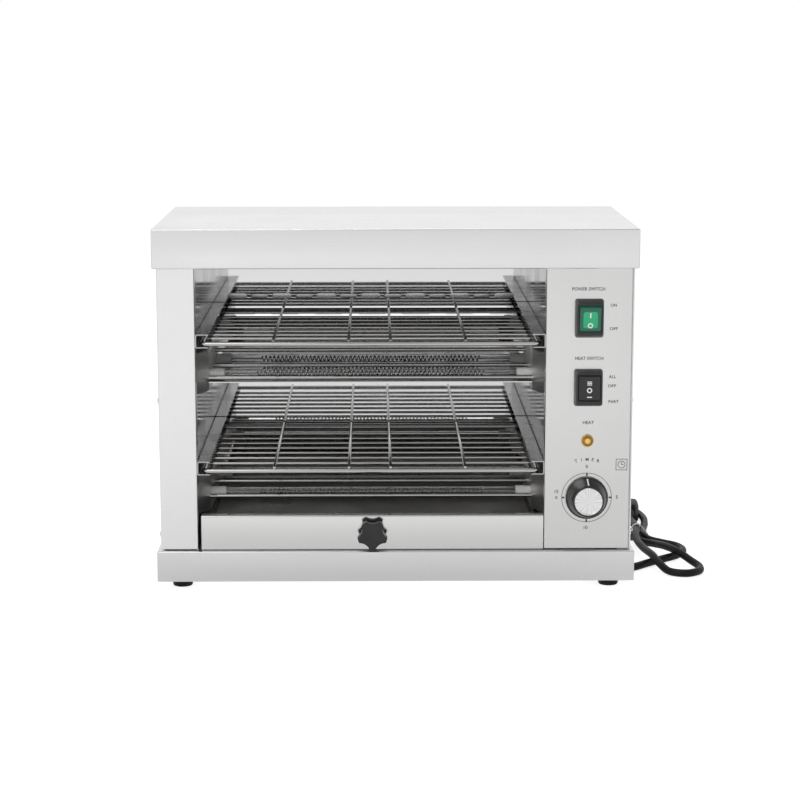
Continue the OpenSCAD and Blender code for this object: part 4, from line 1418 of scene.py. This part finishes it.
@dataclass
class Heaters:
    """Quartz tubes with their coils, ceramic caps and end housings."""

    levels: dict[str, float] = field(default_factory=lambda: {
        "lower": 84.0, "middle": 199.0, "top": 313.0})
    depths: dict[str, float] = field(default_factory=lambda: {"front": 55.0, "rear": 147.0})
    tube_ends: tuple[float, float] = (-169.0, 122.0)
    tube_d: float = 8.4
    coil_ends: tuple[float, float] = (-131.5, 84.5)
    coil_turns: int = 54
    coil_r: float = 2.2
    coil_wire: float = 1.4
    lead_ends: tuple[float, float] = (-200.0, 153.0)
    lead_wire: float = 1.6
    cap_ends: tuple[float, float] = (-196.0, 149.0)
    cap_hole: float = 10.6
    housing_d: tuple[float, float] = (25.0, 190.0)
    housing_mid: float = 104.2
    housing_face: float = 117.0
    housing_under: float = 16.0
    housing_over: float = 24.0
    bulge: float = 10.0

    def along(self, start: float, end: float, diameter: float, sides: int) -> Piece:
        """Round bar on the X axis from one place to another."""
        return rod("bar", mm(start, 0, 0), mm(end, 0, 0), diameter, sides)

    def tube(self) -> Piece:
        """Glass tube at the origin, open at both ends.

        Returns:
            The tube.
        """
        piece = self.along(*self.tube_ends, self.tube_d, 40)
        with editing(piece, "FACE"):
            pick(piece, "faces", lambda face: abs(face.normal.x) > 0.5)
            bpy.ops.mesh.delete(type="FACE")
        thicken(piece, 1.0)
        return piece

    def coil(self) -> Piece:
        """Wound wire at the origin, with its straight leads.

        Returns:
            The wire.
        """
        start, end = self.coil_ends
        wire = made("coil", bpy.ops.mesh.primitive_circle_add, vertices=6,
                    radius=self.coil_wire * MM / 2, fill_type="NOTHING",
                    rotation=(math.pi / 2, 0, 0), location=mm(start, 0, self.coil_r))
        modify(
            wire, "SCREW", axis="X", angle=math.tau,
            screw_offset=(end - start) / self.coil_turns * MM, iterations=self.coil_turns,
            steps=12, render_steps=12, use_merge_vertices=False)
        with editing(wire):
            pick(wire, "edges", lambda edge: edge.is_boundary)
            bpy.ops.mesh.fill_holes(sides=0)
        face_outwards(wire)
        leads = [self.along(self.lead_ends[0], start + 1, self.lead_wire, 12),
                 self.along(end - 1, self.lead_ends[1], self.lead_wire, 12)]
        spokes = [rod("spoke", mm(x, 0, 0), mm(x, 0, self.coil_r), 1.1, 8) for x in (start, end)]
        return join("coil", [wire, *leads, *spokes])

    def cap(self) -> Piece:
        """Ceramic cap at the origin, its open end towards +X.

        Returns:
            The cap.
        """
        return turned(
            "cap", [(4.3, 33.5), (4.8, 33.5), (5.2, 33.0), (5.2, 24.0), (4.9, 23.6),
                    (4.9, 10.4), (5.2, 10.0), (5.2, 0.5), (4.8, 0.0), (0.95, 0.0),
                    (0.95, 26.5), (4.3, 26.5)], Vector(), RIGHT, sides=40, closed=True)

    def housing(self, name: str, z: float) -> Piece:
        """Left bulged housing with rounded sides.

        Args:
            name: Name of the piece.
            z: Height of the tubes.

        Returns:
            The housing.
        """
        wall, out = CHAMBER_LEFT, CHAMBER_LEFT + self.bulge
        front, rear = self.housing_d
        piece = block(name, at(wall, front, z - self.housing_under),
                      at(out, rear, z + self.housing_over))
        with editing(piece, "FACE"):
            pick(piece, "faces", lambda face: face.normal.x > 0.5)
            scale_about(at(out, self.housing_mid, z), 1, self.housing_face / (rear - front))
            pick(piece, "faces", lambda face: face.normal.x < -0.5)
            bpy.ops.mesh.delete(type="FACE")
            bpy.ops.mesh.select_mode(type="EDGE")
            pick(piece, "edges", lambda edge: len(edge.link_faces) == 2)
            round_edges(3.0, 5)
        thicken(piece, SHEET)
        cut(piece, *(rod("hole", at(out - 3, d, z), at(out + 2, d, z), self.cap_hole, 40)
                     for d in self.depths.values()))
        return piece

    def build(self) -> None:
        """Make every bank."""
        tube, coil, cap = self.tube(), self.coil(), self.cap()
        for level, z in self.levels.items():
            for row, d in self.depths.items():
                name, place = f"{level}_{row}", Matrix.Translation(at(0, d, z))
                dress(copied(tube, f"{name}_quartz", place), QUARTZ, f"{name}_tube")
                dress(copied(coil, f"{name}_winding", place), HEATING_WIRE, f"{name}_coil")
                for end, x, turn in zip(("left", "right"), self.cap_ends, (Matrix(), FLIP)):
                    stand = Matrix.Translation(at(x, d, z)) @ turn
                    dress(copied(cap, f"{name}_{end}_cap", stand), CERAMIC, f"{level}_tube_caps")
        for piece in (tube, coil, cap):
            bpy.data.objects.remove(piece)
        for level in ("lower", "middle"):
            left = self.housing(f"{level}_left_housing", self.levels[level])
            right = copied(left, f"{level}_right_housing", across_chamber())
            dress(left, HOUSING_STEEL, "heater_housings")
            dress(right, HOUSING_STEEL, "heater_housings")


# ------------------------------------------------------------------ controls


@dataclass(frozen=True)
class Legend:
    """One word or number of the print."""

    words: str
    x: float
    z: float
    tall: float
    wide: float = 0.0
    turn: float = 0.0


def lettering(name: str, legend: Legend, d: float) -> Piece:
    """Flat letters as a mesh, centred on their place and facing forwards.

    Args:
        name: Name of the piece.
        legend: The words, their place and their size.
        d: Depth of the surface that they lie on.

    Returns:
        The letters.
    """
    bpy.ops.object.select_all(action="DESELECT")
    bpy.ops.object.text_add()
    words = bpy.context.active_object.data
    words.body = legend.words
    words.size = 0.01
    words.resolution_u = 3
    words.extrude = 0.03 * MM
    words.offset = 0.16 * MM
    bpy.ops.object.convert(target="MESH")
    letters = settle(name)
    axes = [[vert.co[i] for vert in letters.data.vertices] for i in range(3)]
    low = Vector([min(values) for values in axes])
    high = Vector([max(values) for values in axes])
    size = high - low
    grow = legend.tall * MM / size.y
    stretch = legend.wide * MM / size.x if legend.wide else grow
    turn = Matrix.Rotation(math.radians(legend.turn), 4, "Y") @ Matrix.Rotation(math.pi / 2, 4, "X")
    return moved(letters, (
        Matrix.Translation(at(legend.x, d, legend.z)) @ turn
        @ Matrix.Diagonal((stretch, grow, 1.0, 1.0)) @ Matrix.Translation(-(low + high) / 2)))


def flat_ring(
    name: str, centre: Vector, outer: float, inner: float, sides: int, turn: float = 0.0
) -> Piece:
    """Thin printed ring that faces forwards.

    Args:
        name: Name of the piece.
        centre: Its middle.
        outer: Its outer radius in millimetres.
        inner: Its inner radius in millimetres.
        sides: Number of its sides.
        turn: How far it is turned, in radians.

    Returns:
        The ring.
    """
    thick = 0.08
    ring = turned(name, [(outer, 0.0), (outer, thick), (inner, thick), (inner, 0.0)], Vector(),
                  UP, sides=sides, closed=True)
    return moved(ring, Matrix.Translation(centre) @ Matrix.Rotation(math.pi / 2, 4, "X")
                 @ Matrix.Rotation(turn, 4, "Z"))


@dataclass
class Controls:
    """Switches, lamp and timer on the control panel."""

    mid: float = 179.5
    face: float = 6.0
    power_z: float = 258.98
    heat_z: float = 194.08
    lamp_z: float = 142.47
    timer_z: float = 87.94
    pivot: float = -2.0
    power_tilt: float = 10.0
    rocker_w: float = 19.7
    rocker_r: float = 12.17
    rocker_face: float = 5.0
    bezel_w: float = 26.5
    bezel_out: float = 10.0
    bezel_top: tuple[float, float] = (24.4, 28.1)
    window: tuple[float, float] = (20.6, 24.3)
    window_behind: tuple[float, float] = (21.0, 24.9)
    ring_stroke: float = 1.1
    timer_ring: tuple[float, float] = (23.7, 23.2)
    tick_at: float = 22.3
    tick: tuple[float, float] = (0.75, 1.4)
    clock_at: tuple[float, float] = (211.9, 119.5)
    title_radius: float = 36.6
    title_step: float = 8.3
    legends: list[Legend] = field(default_factory=lambda: [
        Legend("POWER SWITCH", 178.6, 285.5, 3.2, 30.5),
        Legend("ON", 202.0, 270.3, 2.8, 5.6),
        Legend("OFF", 202.4, 248.3, 2.8, 7.6),
        Legend("HEAT SWITCH", 180.0, 220.5, 3.2, 26.4),
        Legend("ALL", 201.9, 203.1, 2.8, 6.8),
        Legend("OFF", 201.7, 194.4, 2.8, 7.6),
        Legend("PART", 203.4, 179.6, 2.8, 9.4),
        Legend("HEAT", 180.1, 159.7, 3.0, 10.4),
        Legend("0", 179.3, 117.7, 3.2),
        Legend("5", 208.0, 88.3, 3.2),
        Legend("10", 179.0, 59.0, 3.2),
        Legend("15", 151.1, 93.7, 3.2),
        Legend("0", 151.0, 88.0, 3.0),
    ])

    def bezel(self, name: str, z: float, height: float, chin: float) -> Piece:
        """Rounded frame that slopes up to the rocker's window.

        Args:
            name: Name of the piece.
            z: Height of the rocker's pins.
            height: Height of the frame where it lies on the panel.
            chin: How much further it reaches down.

        Returns:
            The frame.
        """
        mid, out = self.mid, self.face - 2 - self.bezel_out
        (top_w, top_h), (wide, tall) = self.bezel_top, self.window
        piece = block(name, at(mid - self.bezel_w / 2, self.face - 2, z - height / 2 - chin),
                      at(mid + self.bezel_w / 2, self.face, z + height / 2))
        with editing(piece, "FACE"):
            pick(piece, "faces", lambda face: face.normal.y < -0.5)
            extrude(FORWARD * self.bezel_out * MM)
            scale_about(at(mid, out, z), top_w / self.bezel_w, 1, top_h / height)
            bpy.ops.mesh.select_mode(type="EDGE")
            pick(piece, "edges", runs_back)
            round_edges(2.2, 5)
            bpy.ops.mesh.select_mode(type="FACE")
            pick(piece, "faces", lambda face: face.normal.y < -0.9)
            bpy.ops.mesh.inset(thickness=(top_w - wide) / 2 * MM)
            scale_about(at(mid, out, z + tall / 2), 1, 1, tall / (tall + chin * top_h / height))
            extrude(BACK * 0.6 * MM)
            extrude(BACK * 0.3 * MM)
            scale_about(at(mid, out, z), self.window_behind[0] / wide, 1,
                        self.window_behind[1] / tall)
            extrude(BACK * 8 * MM)
        soften(piece, 0.4, 3, 40)
        return piece

    def key(self, name: str, z: float, tilt: float) -> Piece:
        """Rocker with a shallow framed face, tipped about its pins.

        Args:
            name: Name of the piece.
            z: Height of its pins.
            tilt: How far it is tipped, in degrees.

        Returns:
            The rocker.
        """
        pivot = at(self.mid, self.pivot, z)
        half = self.rocker_w / 2 * MM
        piece = rod(name, pivot + LEFT * half, pivot + RIGHT * half, 2 * self.rocker_r, 64)
        with editing(piece, "FACE"):
            pick_all()
            bpy.ops.mesh.bisect(
                plane_co=pivot + FORWARD * self.rocker_face * MM, plane_no=BACK, use_fill=True,
                clear_inner=True)
            pick(piece, "faces", lambda face: face.normal.y < -0.99)
            bpy.ops.mesh.inset(thickness=1.1 * MM)
            extrude(BACK * 0.3 * MM)
            scale_about(pivot, 0.97, 1, 0.97)
        soften(piece, 0.4, 3, 45)
        return self.tipped(piece, z, tilt)

    def pane(self) -> Piece:
        """Clear middle of the green rocker, where its light shows.

        Returns:
            The pane.
        """
        d = self.pivot - self.rocker_face + 0.15
        piece = block("green_key_window", at(self.mid - 6.7, d, self.power_z - 8.0),
                      at(self.mid + 6.7, d + 0.6, self.power_z + 7.8))
        with editing(piece):
            pick(piece, "edges", runs_back)
            round_edges(2.4, 6)
        soften(piece, 0.12, 2, 50)
        return self.tipped(piece, self.power_z, self.power_tilt)

    def tipped(self, piece: Piece, z: float, tilt: float) -> Piece:
        """Turn a piece about a rocker's pins.

        Args:
            piece: The piece.
            z: Height of the pins.
            tilt: How far to turn it, in degrees.

        Returns:
            The piece.
        """
        pivot = Matrix.Translation(at(self.mid, self.pivot, z))
        turn = Matrix.Rotation(math.radians(tilt), 4, "X")
        return moved(piece, pivot @ turn @ pivot.inverted())

    def marks(
        self, prefix: str, z: float, tilt: float, body: Body,
        signs: Sequence[tuple[float, float, float]],
    ) -> None:
        """Print white bars and rings on a rocker's face.

        Args:
            prefix: Start of the pieces' names.
            z: Height of the rocker.
            tilt: How far it is tipped, in degrees.
            body: The rocker's body.
            signs: Each mark's rise above the pins, its height, or 0 for a ring, and its width.
        """
        d = self.pivot - self.rocker_face + 0.1
        for i, (rise, tall, wide) in enumerate(signs):
            if tall:
                mark = block("bar", at(self.mid - wide / 2, d - 0.06, z + rise - tall / 2),
                             at(self.mid + wide / 2, d + 0.06, z + rise + tall / 2))
                soften(mark, 0.04, 1)
            else:
                mark = flat_ring("ring", at(self.mid, d + 0.02, z + rise), wide / 2,
                                 wide / 2 - self.ring_stroke, 32)
            mark.name = f"{prefix}_{i + 1}"
            dress(self.tipped(mark, z, tilt), GLOWING_WHITE_PRINT, body=body)

    def lamp(self) -> None:
        """Lens with a bright rim, a ring of facets and a small dome."""
        foot = at(self.mid, self.face, self.lamp_z)
        rim = [(4.4, -0.5), (6.0, 0.0), (6.0, 0.9), (5.6, 1.5), (5.1, 1.5), (4.7, 0.5)]
        facets = [(5.0, 0.2), (4.9, 1.0), (3.0, 3.4), (2.4, 2.2)]
        dome = [(2.7, 1.6), (2.6, 2.9), (2.1, 3.6), (1.3, 4.0), (0.5, 4.1)]
        for part, rings, sides, finish in (
            ("rim", rim, 48, replace(BRASS, slot=Slot.AMBER)),
            ("facets", facets, 9, AMBER_PLASTIC), ("dome", dome, 24, LIT_AMBER),
        ):
            piece = turned(f"lamp_{part}", rings, foot, FORWARD, sides=sides)
            dress(piece, finish, "pilot_lamp_lens", angle=20)

    def dial(self) -> None:
        """Timer knob with its metal cap and its pointer."""
        foot = at(self.mid, self.face, self.timer_z)
        knob = turned(
            "timer_grip", [(19.5, 1.0), (20.0, 1.4), (20.0, 3.0), (19.6, 3.5), (18.7, 4.0),
                           (18.3, 4.8), (14.9, 18.2), (14.5, 18.8), (14.1, 19.0), (13.1, 19.0),
                           (13.1, 17.6)], foot, FORWARD, sides=96)
        cap = turned(
            "spun_timer_cap", [(13.0, 17.8), (13.0, 19.6), (12.7, 19.95), (12.3, 20.0),
                               (11.8, 19.9), (11.5, 19.7), (6.0, 19.6), (1.0, 19.6)],
            foot, FORWARD, sides=96)
        # The cap's rays are painted highlights in its colour.
        spun = PaintedRaysFinish(
            "turned_aluminium", Slot.SPUN, even(0.9), 0.24, metallic=1.0, tone=0.02, wear=0.03,
            centre=tuple(foot))
        dress(knob, GLOSSY_BLACK, "timer_knob", body=Body.TIMER_DIAL)
        dress(cap, spun, "timer_knob_cap", body=Body.TIMER_DIAL)
        pointer = block("timer_pointer", mm(-0.65, 18.4, -4.9), mm(0.65, 18.7, 8.8))
        lean = Matrix.Rotation(math.atan2(3.4, 13.4), 4, "X")
        stand = (
            Matrix.Translation(foot) @ Matrix.Rotation(math.pi / 2, 4, "X")
            @ Matrix.Translation(mm(0, 18.5, 5.0)) @ lean @ Matrix.Translation(mm(0, -18.5, 4.4)))
        soften(pointer, 0.1, 1)
        dress(moved(pointer, stand), GLOWING_WHITE_PRINT, body=Body.TIMER_DIAL)

    def scale(self) -> None:
        """Ring printed round the timer, with a tick at each quarter."""
        d = self.face - 0.02
        centre = at(self.mid, d, self.timer_z)
        dress(flat_ring("timer_ring", centre, *self.timer_ring, 96), GREY_PRINT)
        for i in range(4):
            turn = math.radians(90 * i)
            x = self.mid + self.tick_at * math.sin(turn)
            z = self.timer_z + self.tick_at * math.cos(turn)
            wide, tall = reversed(self.tick) if i % 2 else self.tick
            tick = block(f"timer_tick_{i + 1}", at(x - wide, d - 0.09, z - tall),
                         at(x + wide, d, z + tall))
            soften(tick, 0.04, 1)
            dress(tick, DARK_PRINT)

    def clock(self) -> None:
        """Small clock sign in a square, beside the timer's name."""
        d, (x, z) = self.face - 0.02, self.clock_at
        dress(join("clock_sign", [
            flat_ring("square", at(x, d, z), 7.6, 6.9, 4, math.pi / 4),
            flat_ring("dial", at(x, d, z), 3.6, 3.1, 40),
            block("hand", at(x - 0.25, d - 0.08, z), at(x + 0.25, d, z + 2.6)),
            block("hand", at(x, d - 0.08, z - 0.25), at(x + 1.9, d, z + 0.25)),
        ]), DARK_PRINT)

    def words(self) -> None:
        """Words and numbers printed on the panel, one of them on an arc."""
        d = self.face - 0.03
        for i, legend in enumerate(self.legends):
            dress(lettering(f"panel_print_{i + 1}", legend, d), DARK_PRINT)
        letters = []
        for i, letter in enumerate("TIMER"):
            turn = (i - 2) * self.title_step
            x = self.mid + self.title_radius * math.sin(math.radians(turn))
            z = self.timer_z + self.title_radius * math.cos(math.radians(turn))
            letters.append(lettering("letter", Legend(letter, x, z, 3.0, turn=turn), d))
        dress(join("timer_print", letters), DARK_PRINT)

    def build(self) -> None:
        """Make the controls."""
        tilt = self.power_tilt
        dress(self.bezel("power_bezel", self.power_z, 34.5, 1.5), BLACK_PLASTIC,
              "power_switch_bezel")
        dress(self.bezel("heat_bezel", self.heat_z, 32.5, 2.2), BLACK_PLASTIC, "heat_switch_bezel")
        dress(self.key("green_power_key", self.power_z, tilt), GREEN_PLASTIC, "power_rocker",
              body=Body.POWER_KEY)
        dress(self.pane(), BRIGHT_GREEN, "power_rocker", body=Body.POWER_KEY)
        dress(self.key("black_heat_key", self.heat_z, 0), BLACK_PLASTIC, "heat_rocker",
              body=Body.HEAT_KEY)
        self.marks("power_mark", self.power_z, tilt, Body.POWER_KEY,
                   [(4.2, 4.6, 1.3), (-5.4, 0, 5.0)])
        self.marks("heat_mark", self.heat_z, 0, Body.HEAT_KEY, [
            (6.2, 0.8, 4.4), (4.8, 0.8, 4.4), (3.4, 0.8, 4.4), (-1.8, 0, 5.0), (-8.2, 1.0, 4.6)])
        self.lamp()
        self.dial()
        self.scale()
        self.clock()
        self.words()


# ------------------------------------------------------------------ solids that stay

KEPT_SOLIDS: dict[str, Finish] = {
    "bottom_plate": CASE_STEEL,
    "foot_screws": PLATED_STEEL,
    # The chamber's walls and roof take the steel with painted shade.
    "left_inner_wall": SHADED_CHAMBER_STEEL,
    "right_inner_wall": SHADED_CHAMBER_STEEL,
    "chamber_roof": SHADED_CHAMBER_STEEL,
    "middle_reflector": REFLECTOR_STEEL,
    "tray_knob_screw": PLATED_STEEL,
    "middle_guard_rods": RACK_WIRE,
    "lower_guard_rods": RACK_WIRE,
    "power_switch_body": BLACK_PLASTIC,
    "heat_switch_body": BLACK_PLASTIC,
    "pilot_lamp_body": GREY_PLASTIC,
    "timer_body": GREY_PLASTIC,
    "timer_shaft": PLATED_STEEL,
    "terminal_block": CERAMIC,
}


def finish_solids() -> None:
    """Give the solids that stay their finishes."""
    for name, finish in KEPT_SOLIDS.items():
        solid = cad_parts[name]
        if not solid.material_slots:
            solid.data.materials.append(finish.material())
        for place in solid.material_slots:
            place.material = finish.material()
        LOG.info("%s kept, in %s", name, finish.name)


# ------------------------------------------------------------------ studio


@dataclass
class Studio:
    """Floor, backdrop, soft lamps and the camera."""

    camera_at: tuple[float, float, float] = (-0.0209, -2.0758, 0.5275)
    pitch: float = 9.969
    yaw: float = 0.720
    lens: float = 96.39
    aim: tuple[float, float, float] = (0.0, 0.0, 0.17)
    daylight: float = 0.55
    ceiling: float = 0.4
    floor_size: float = 30.0
    floor_white: float = 0.9
    floor_glow: float = 0.76
    # Glow of the floor in reflections only, dimmer near the melter: painted shade.
    mirrored_glow: tuple[float, float] = (0.30, 0.56)
    mirrored_reach: tuple[float, float] = (-0.33, -1.63)

    def camera(self) -> None:
        """Stand the camera in front, a little above the melter."""
        data = bpy.data.cameras.new("studio_camera")
        data.lens = self.lens
        data.sensor_width = 36.0
        data.clip_end = 50.0
        camera = bpy.data.objects.new("studio_camera", data)
        camera.location = self.camera_at
        camera.rotation_euler = (math.radians(90 - self.pitch), 0.0, math.radians(-self.yaw))
        bpy.context.scene.collection.objects.link(camera)
        bpy.context.scene.camera = camera

    def seen(self, tree: Tree, *more: str) -> Socket:
        """Socket that is 1 for a ray from the camera, or of further kinds.

        Args:
            tree: The nodes of the floor or the world.
            *more: The further kinds of ray.

        Returns:
            The socket.
        """
        path = node(tree, "LightPath")
        total = path.outputs["Is Camera Ray"]
        for label in more:
            either = node(tree, "Math", {0: total, 1: path.outputs[label]}, operation="MAXIMUM")
            total = either.outputs["Value"]
        return total

    def world(self) -> None:
        """White behind and low down, darker overhead, and softer where it only lights."""
        world = bpy.data.worlds.new("studio_world")
        bpy.context.scene.world = world
        world.use_nodes = True
        tree = world.node_tree
        power = node(tree, "MapRange", {
            "Value": self.seen(tree, "Is Glossy Ray", "Is Transmission Ray"),
            "To Min": self.daylight, "To Max": 1.0})
        heading = node(tree, "TexCoord")
        rise = node(tree, "VectorMath", {
            0: heading.outputs["Generated"], 1: (0.0, -0.25, 1.0)}, operation="DOT_PRODUCT")
        fade = node(tree, "MapRange", {
            "Value": rise.outputs["Value"], "From Min": 0.25, "From Max": 0.7, "To Min": 1.0,
            "To Max": self.ceiling})
        white = node(tree, "Math", {0: fade.outputs["Result"], 1: self.seen(tree)},
                     operation="MAXIMUM")
        feed(tree, tree.nodes["Background"], {
            "Color": white.outputs["Value"], "Strength": power.outputs["Result"]})

    def floor(self) -> None:
        """Pale floor that keeps the melter's shadow."""
        floor = made("studio_floor", bpy.ops.mesh.primitive_plane_add, size=self.floor_size)
        material = bpy.data.materials.new("studio_floor_white")
        material.use_nodes = True
        tree = material.node_tree
        place = node(tree, "TexCoord")
        split = node(tree, "SeparateXYZ", {"Vector": place.outputs["Object"]})
        # In reflections only, the floor's glow fades towards the melter: painted shade that darkens
        # the low fronts.
        (near, far), (dim, bright) = self.mirrored_reach, self.mirrored_glow
        fade = node(tree, "MapRange", {
            "Value": split.outputs["Y"], "From Min": near, "From Max": far, "To Min": dim,
            "To Max": bright})
        path = node(tree, "LightPath")
        mirrored = node(tree, "Math", {
            0: fade.outputs["Result"], 1: path.outputs["Is Glossy Ray"]}, operation="MULTIPLY")
        glow = node(tree, "Math", {
            0: self.seen(tree, "Is Transmission Ray"), 1: self.floor_glow,
            2: mirrored.outputs["Value"]}, operation="MULTIPLY_ADD")
        feed(tree, tree.nodes["Principled BSDF"], {
            "Base Color": (*even(self.floor_white), 1.0), "Roughness": 0.9,
            "Specular IOR Level": 0.0, "Emission Color": (1.0, 1.0, 1.0, 1.0),
            "Emission Strength": glow.outputs["Value"]})
        floor.data.materials.append(material)

    def lamp(
        self, name: str, place: tuple[float, float, float], size: float, power: float
    ) -> None:
        """Square soft lamp that looks at the melter.

        Args:
            name: Name of the lamp.
            place: Where it hangs, in metres.
            size: Its width in metres.
            power: Its power in watts.
        """
        data = bpy.data.lights.new(name, "AREA")
        data.size = size
        data.energy = power
        lamp = bpy.data.objects.new(name, data)
        lamp.location = place
        aim = Vector(self.aim) - Vector(place)
        lamp.rotation_euler = aim.to_track_quat("-Z", "Y").to_euler()
        bpy.context.scene.collection.objects.link(lamp)

    def build(self) -> None:
        """Set the studio up."""
        bpy.context.scene.view_settings.view_transform = "Standard"
        self.world()
        self.floor()
        self.lamp("key_lamp", (-0.9, -1.6, 1.9), 1.4, 12.0)
        self.lamp("top_lamp", (0.2, 0.3, 2.2), 1.6, 10.0)


def main() -> None:
    """Build the studio and every sub-assembly in order."""
    logging.basicConfig(level=logging.INFO, format="%(name)s: %(message)s")
    studio = Studio()
    studio.camera()
    MainsLead().build()
    for assembly in (Case(), Racks(), CrumbTray(), Heaters(), Controls(), studio):
        assembly.build()
        LOG.info("%s done", type(assembly).__name__)
    finish_solids()


if __name__ == "__main__":
    main()
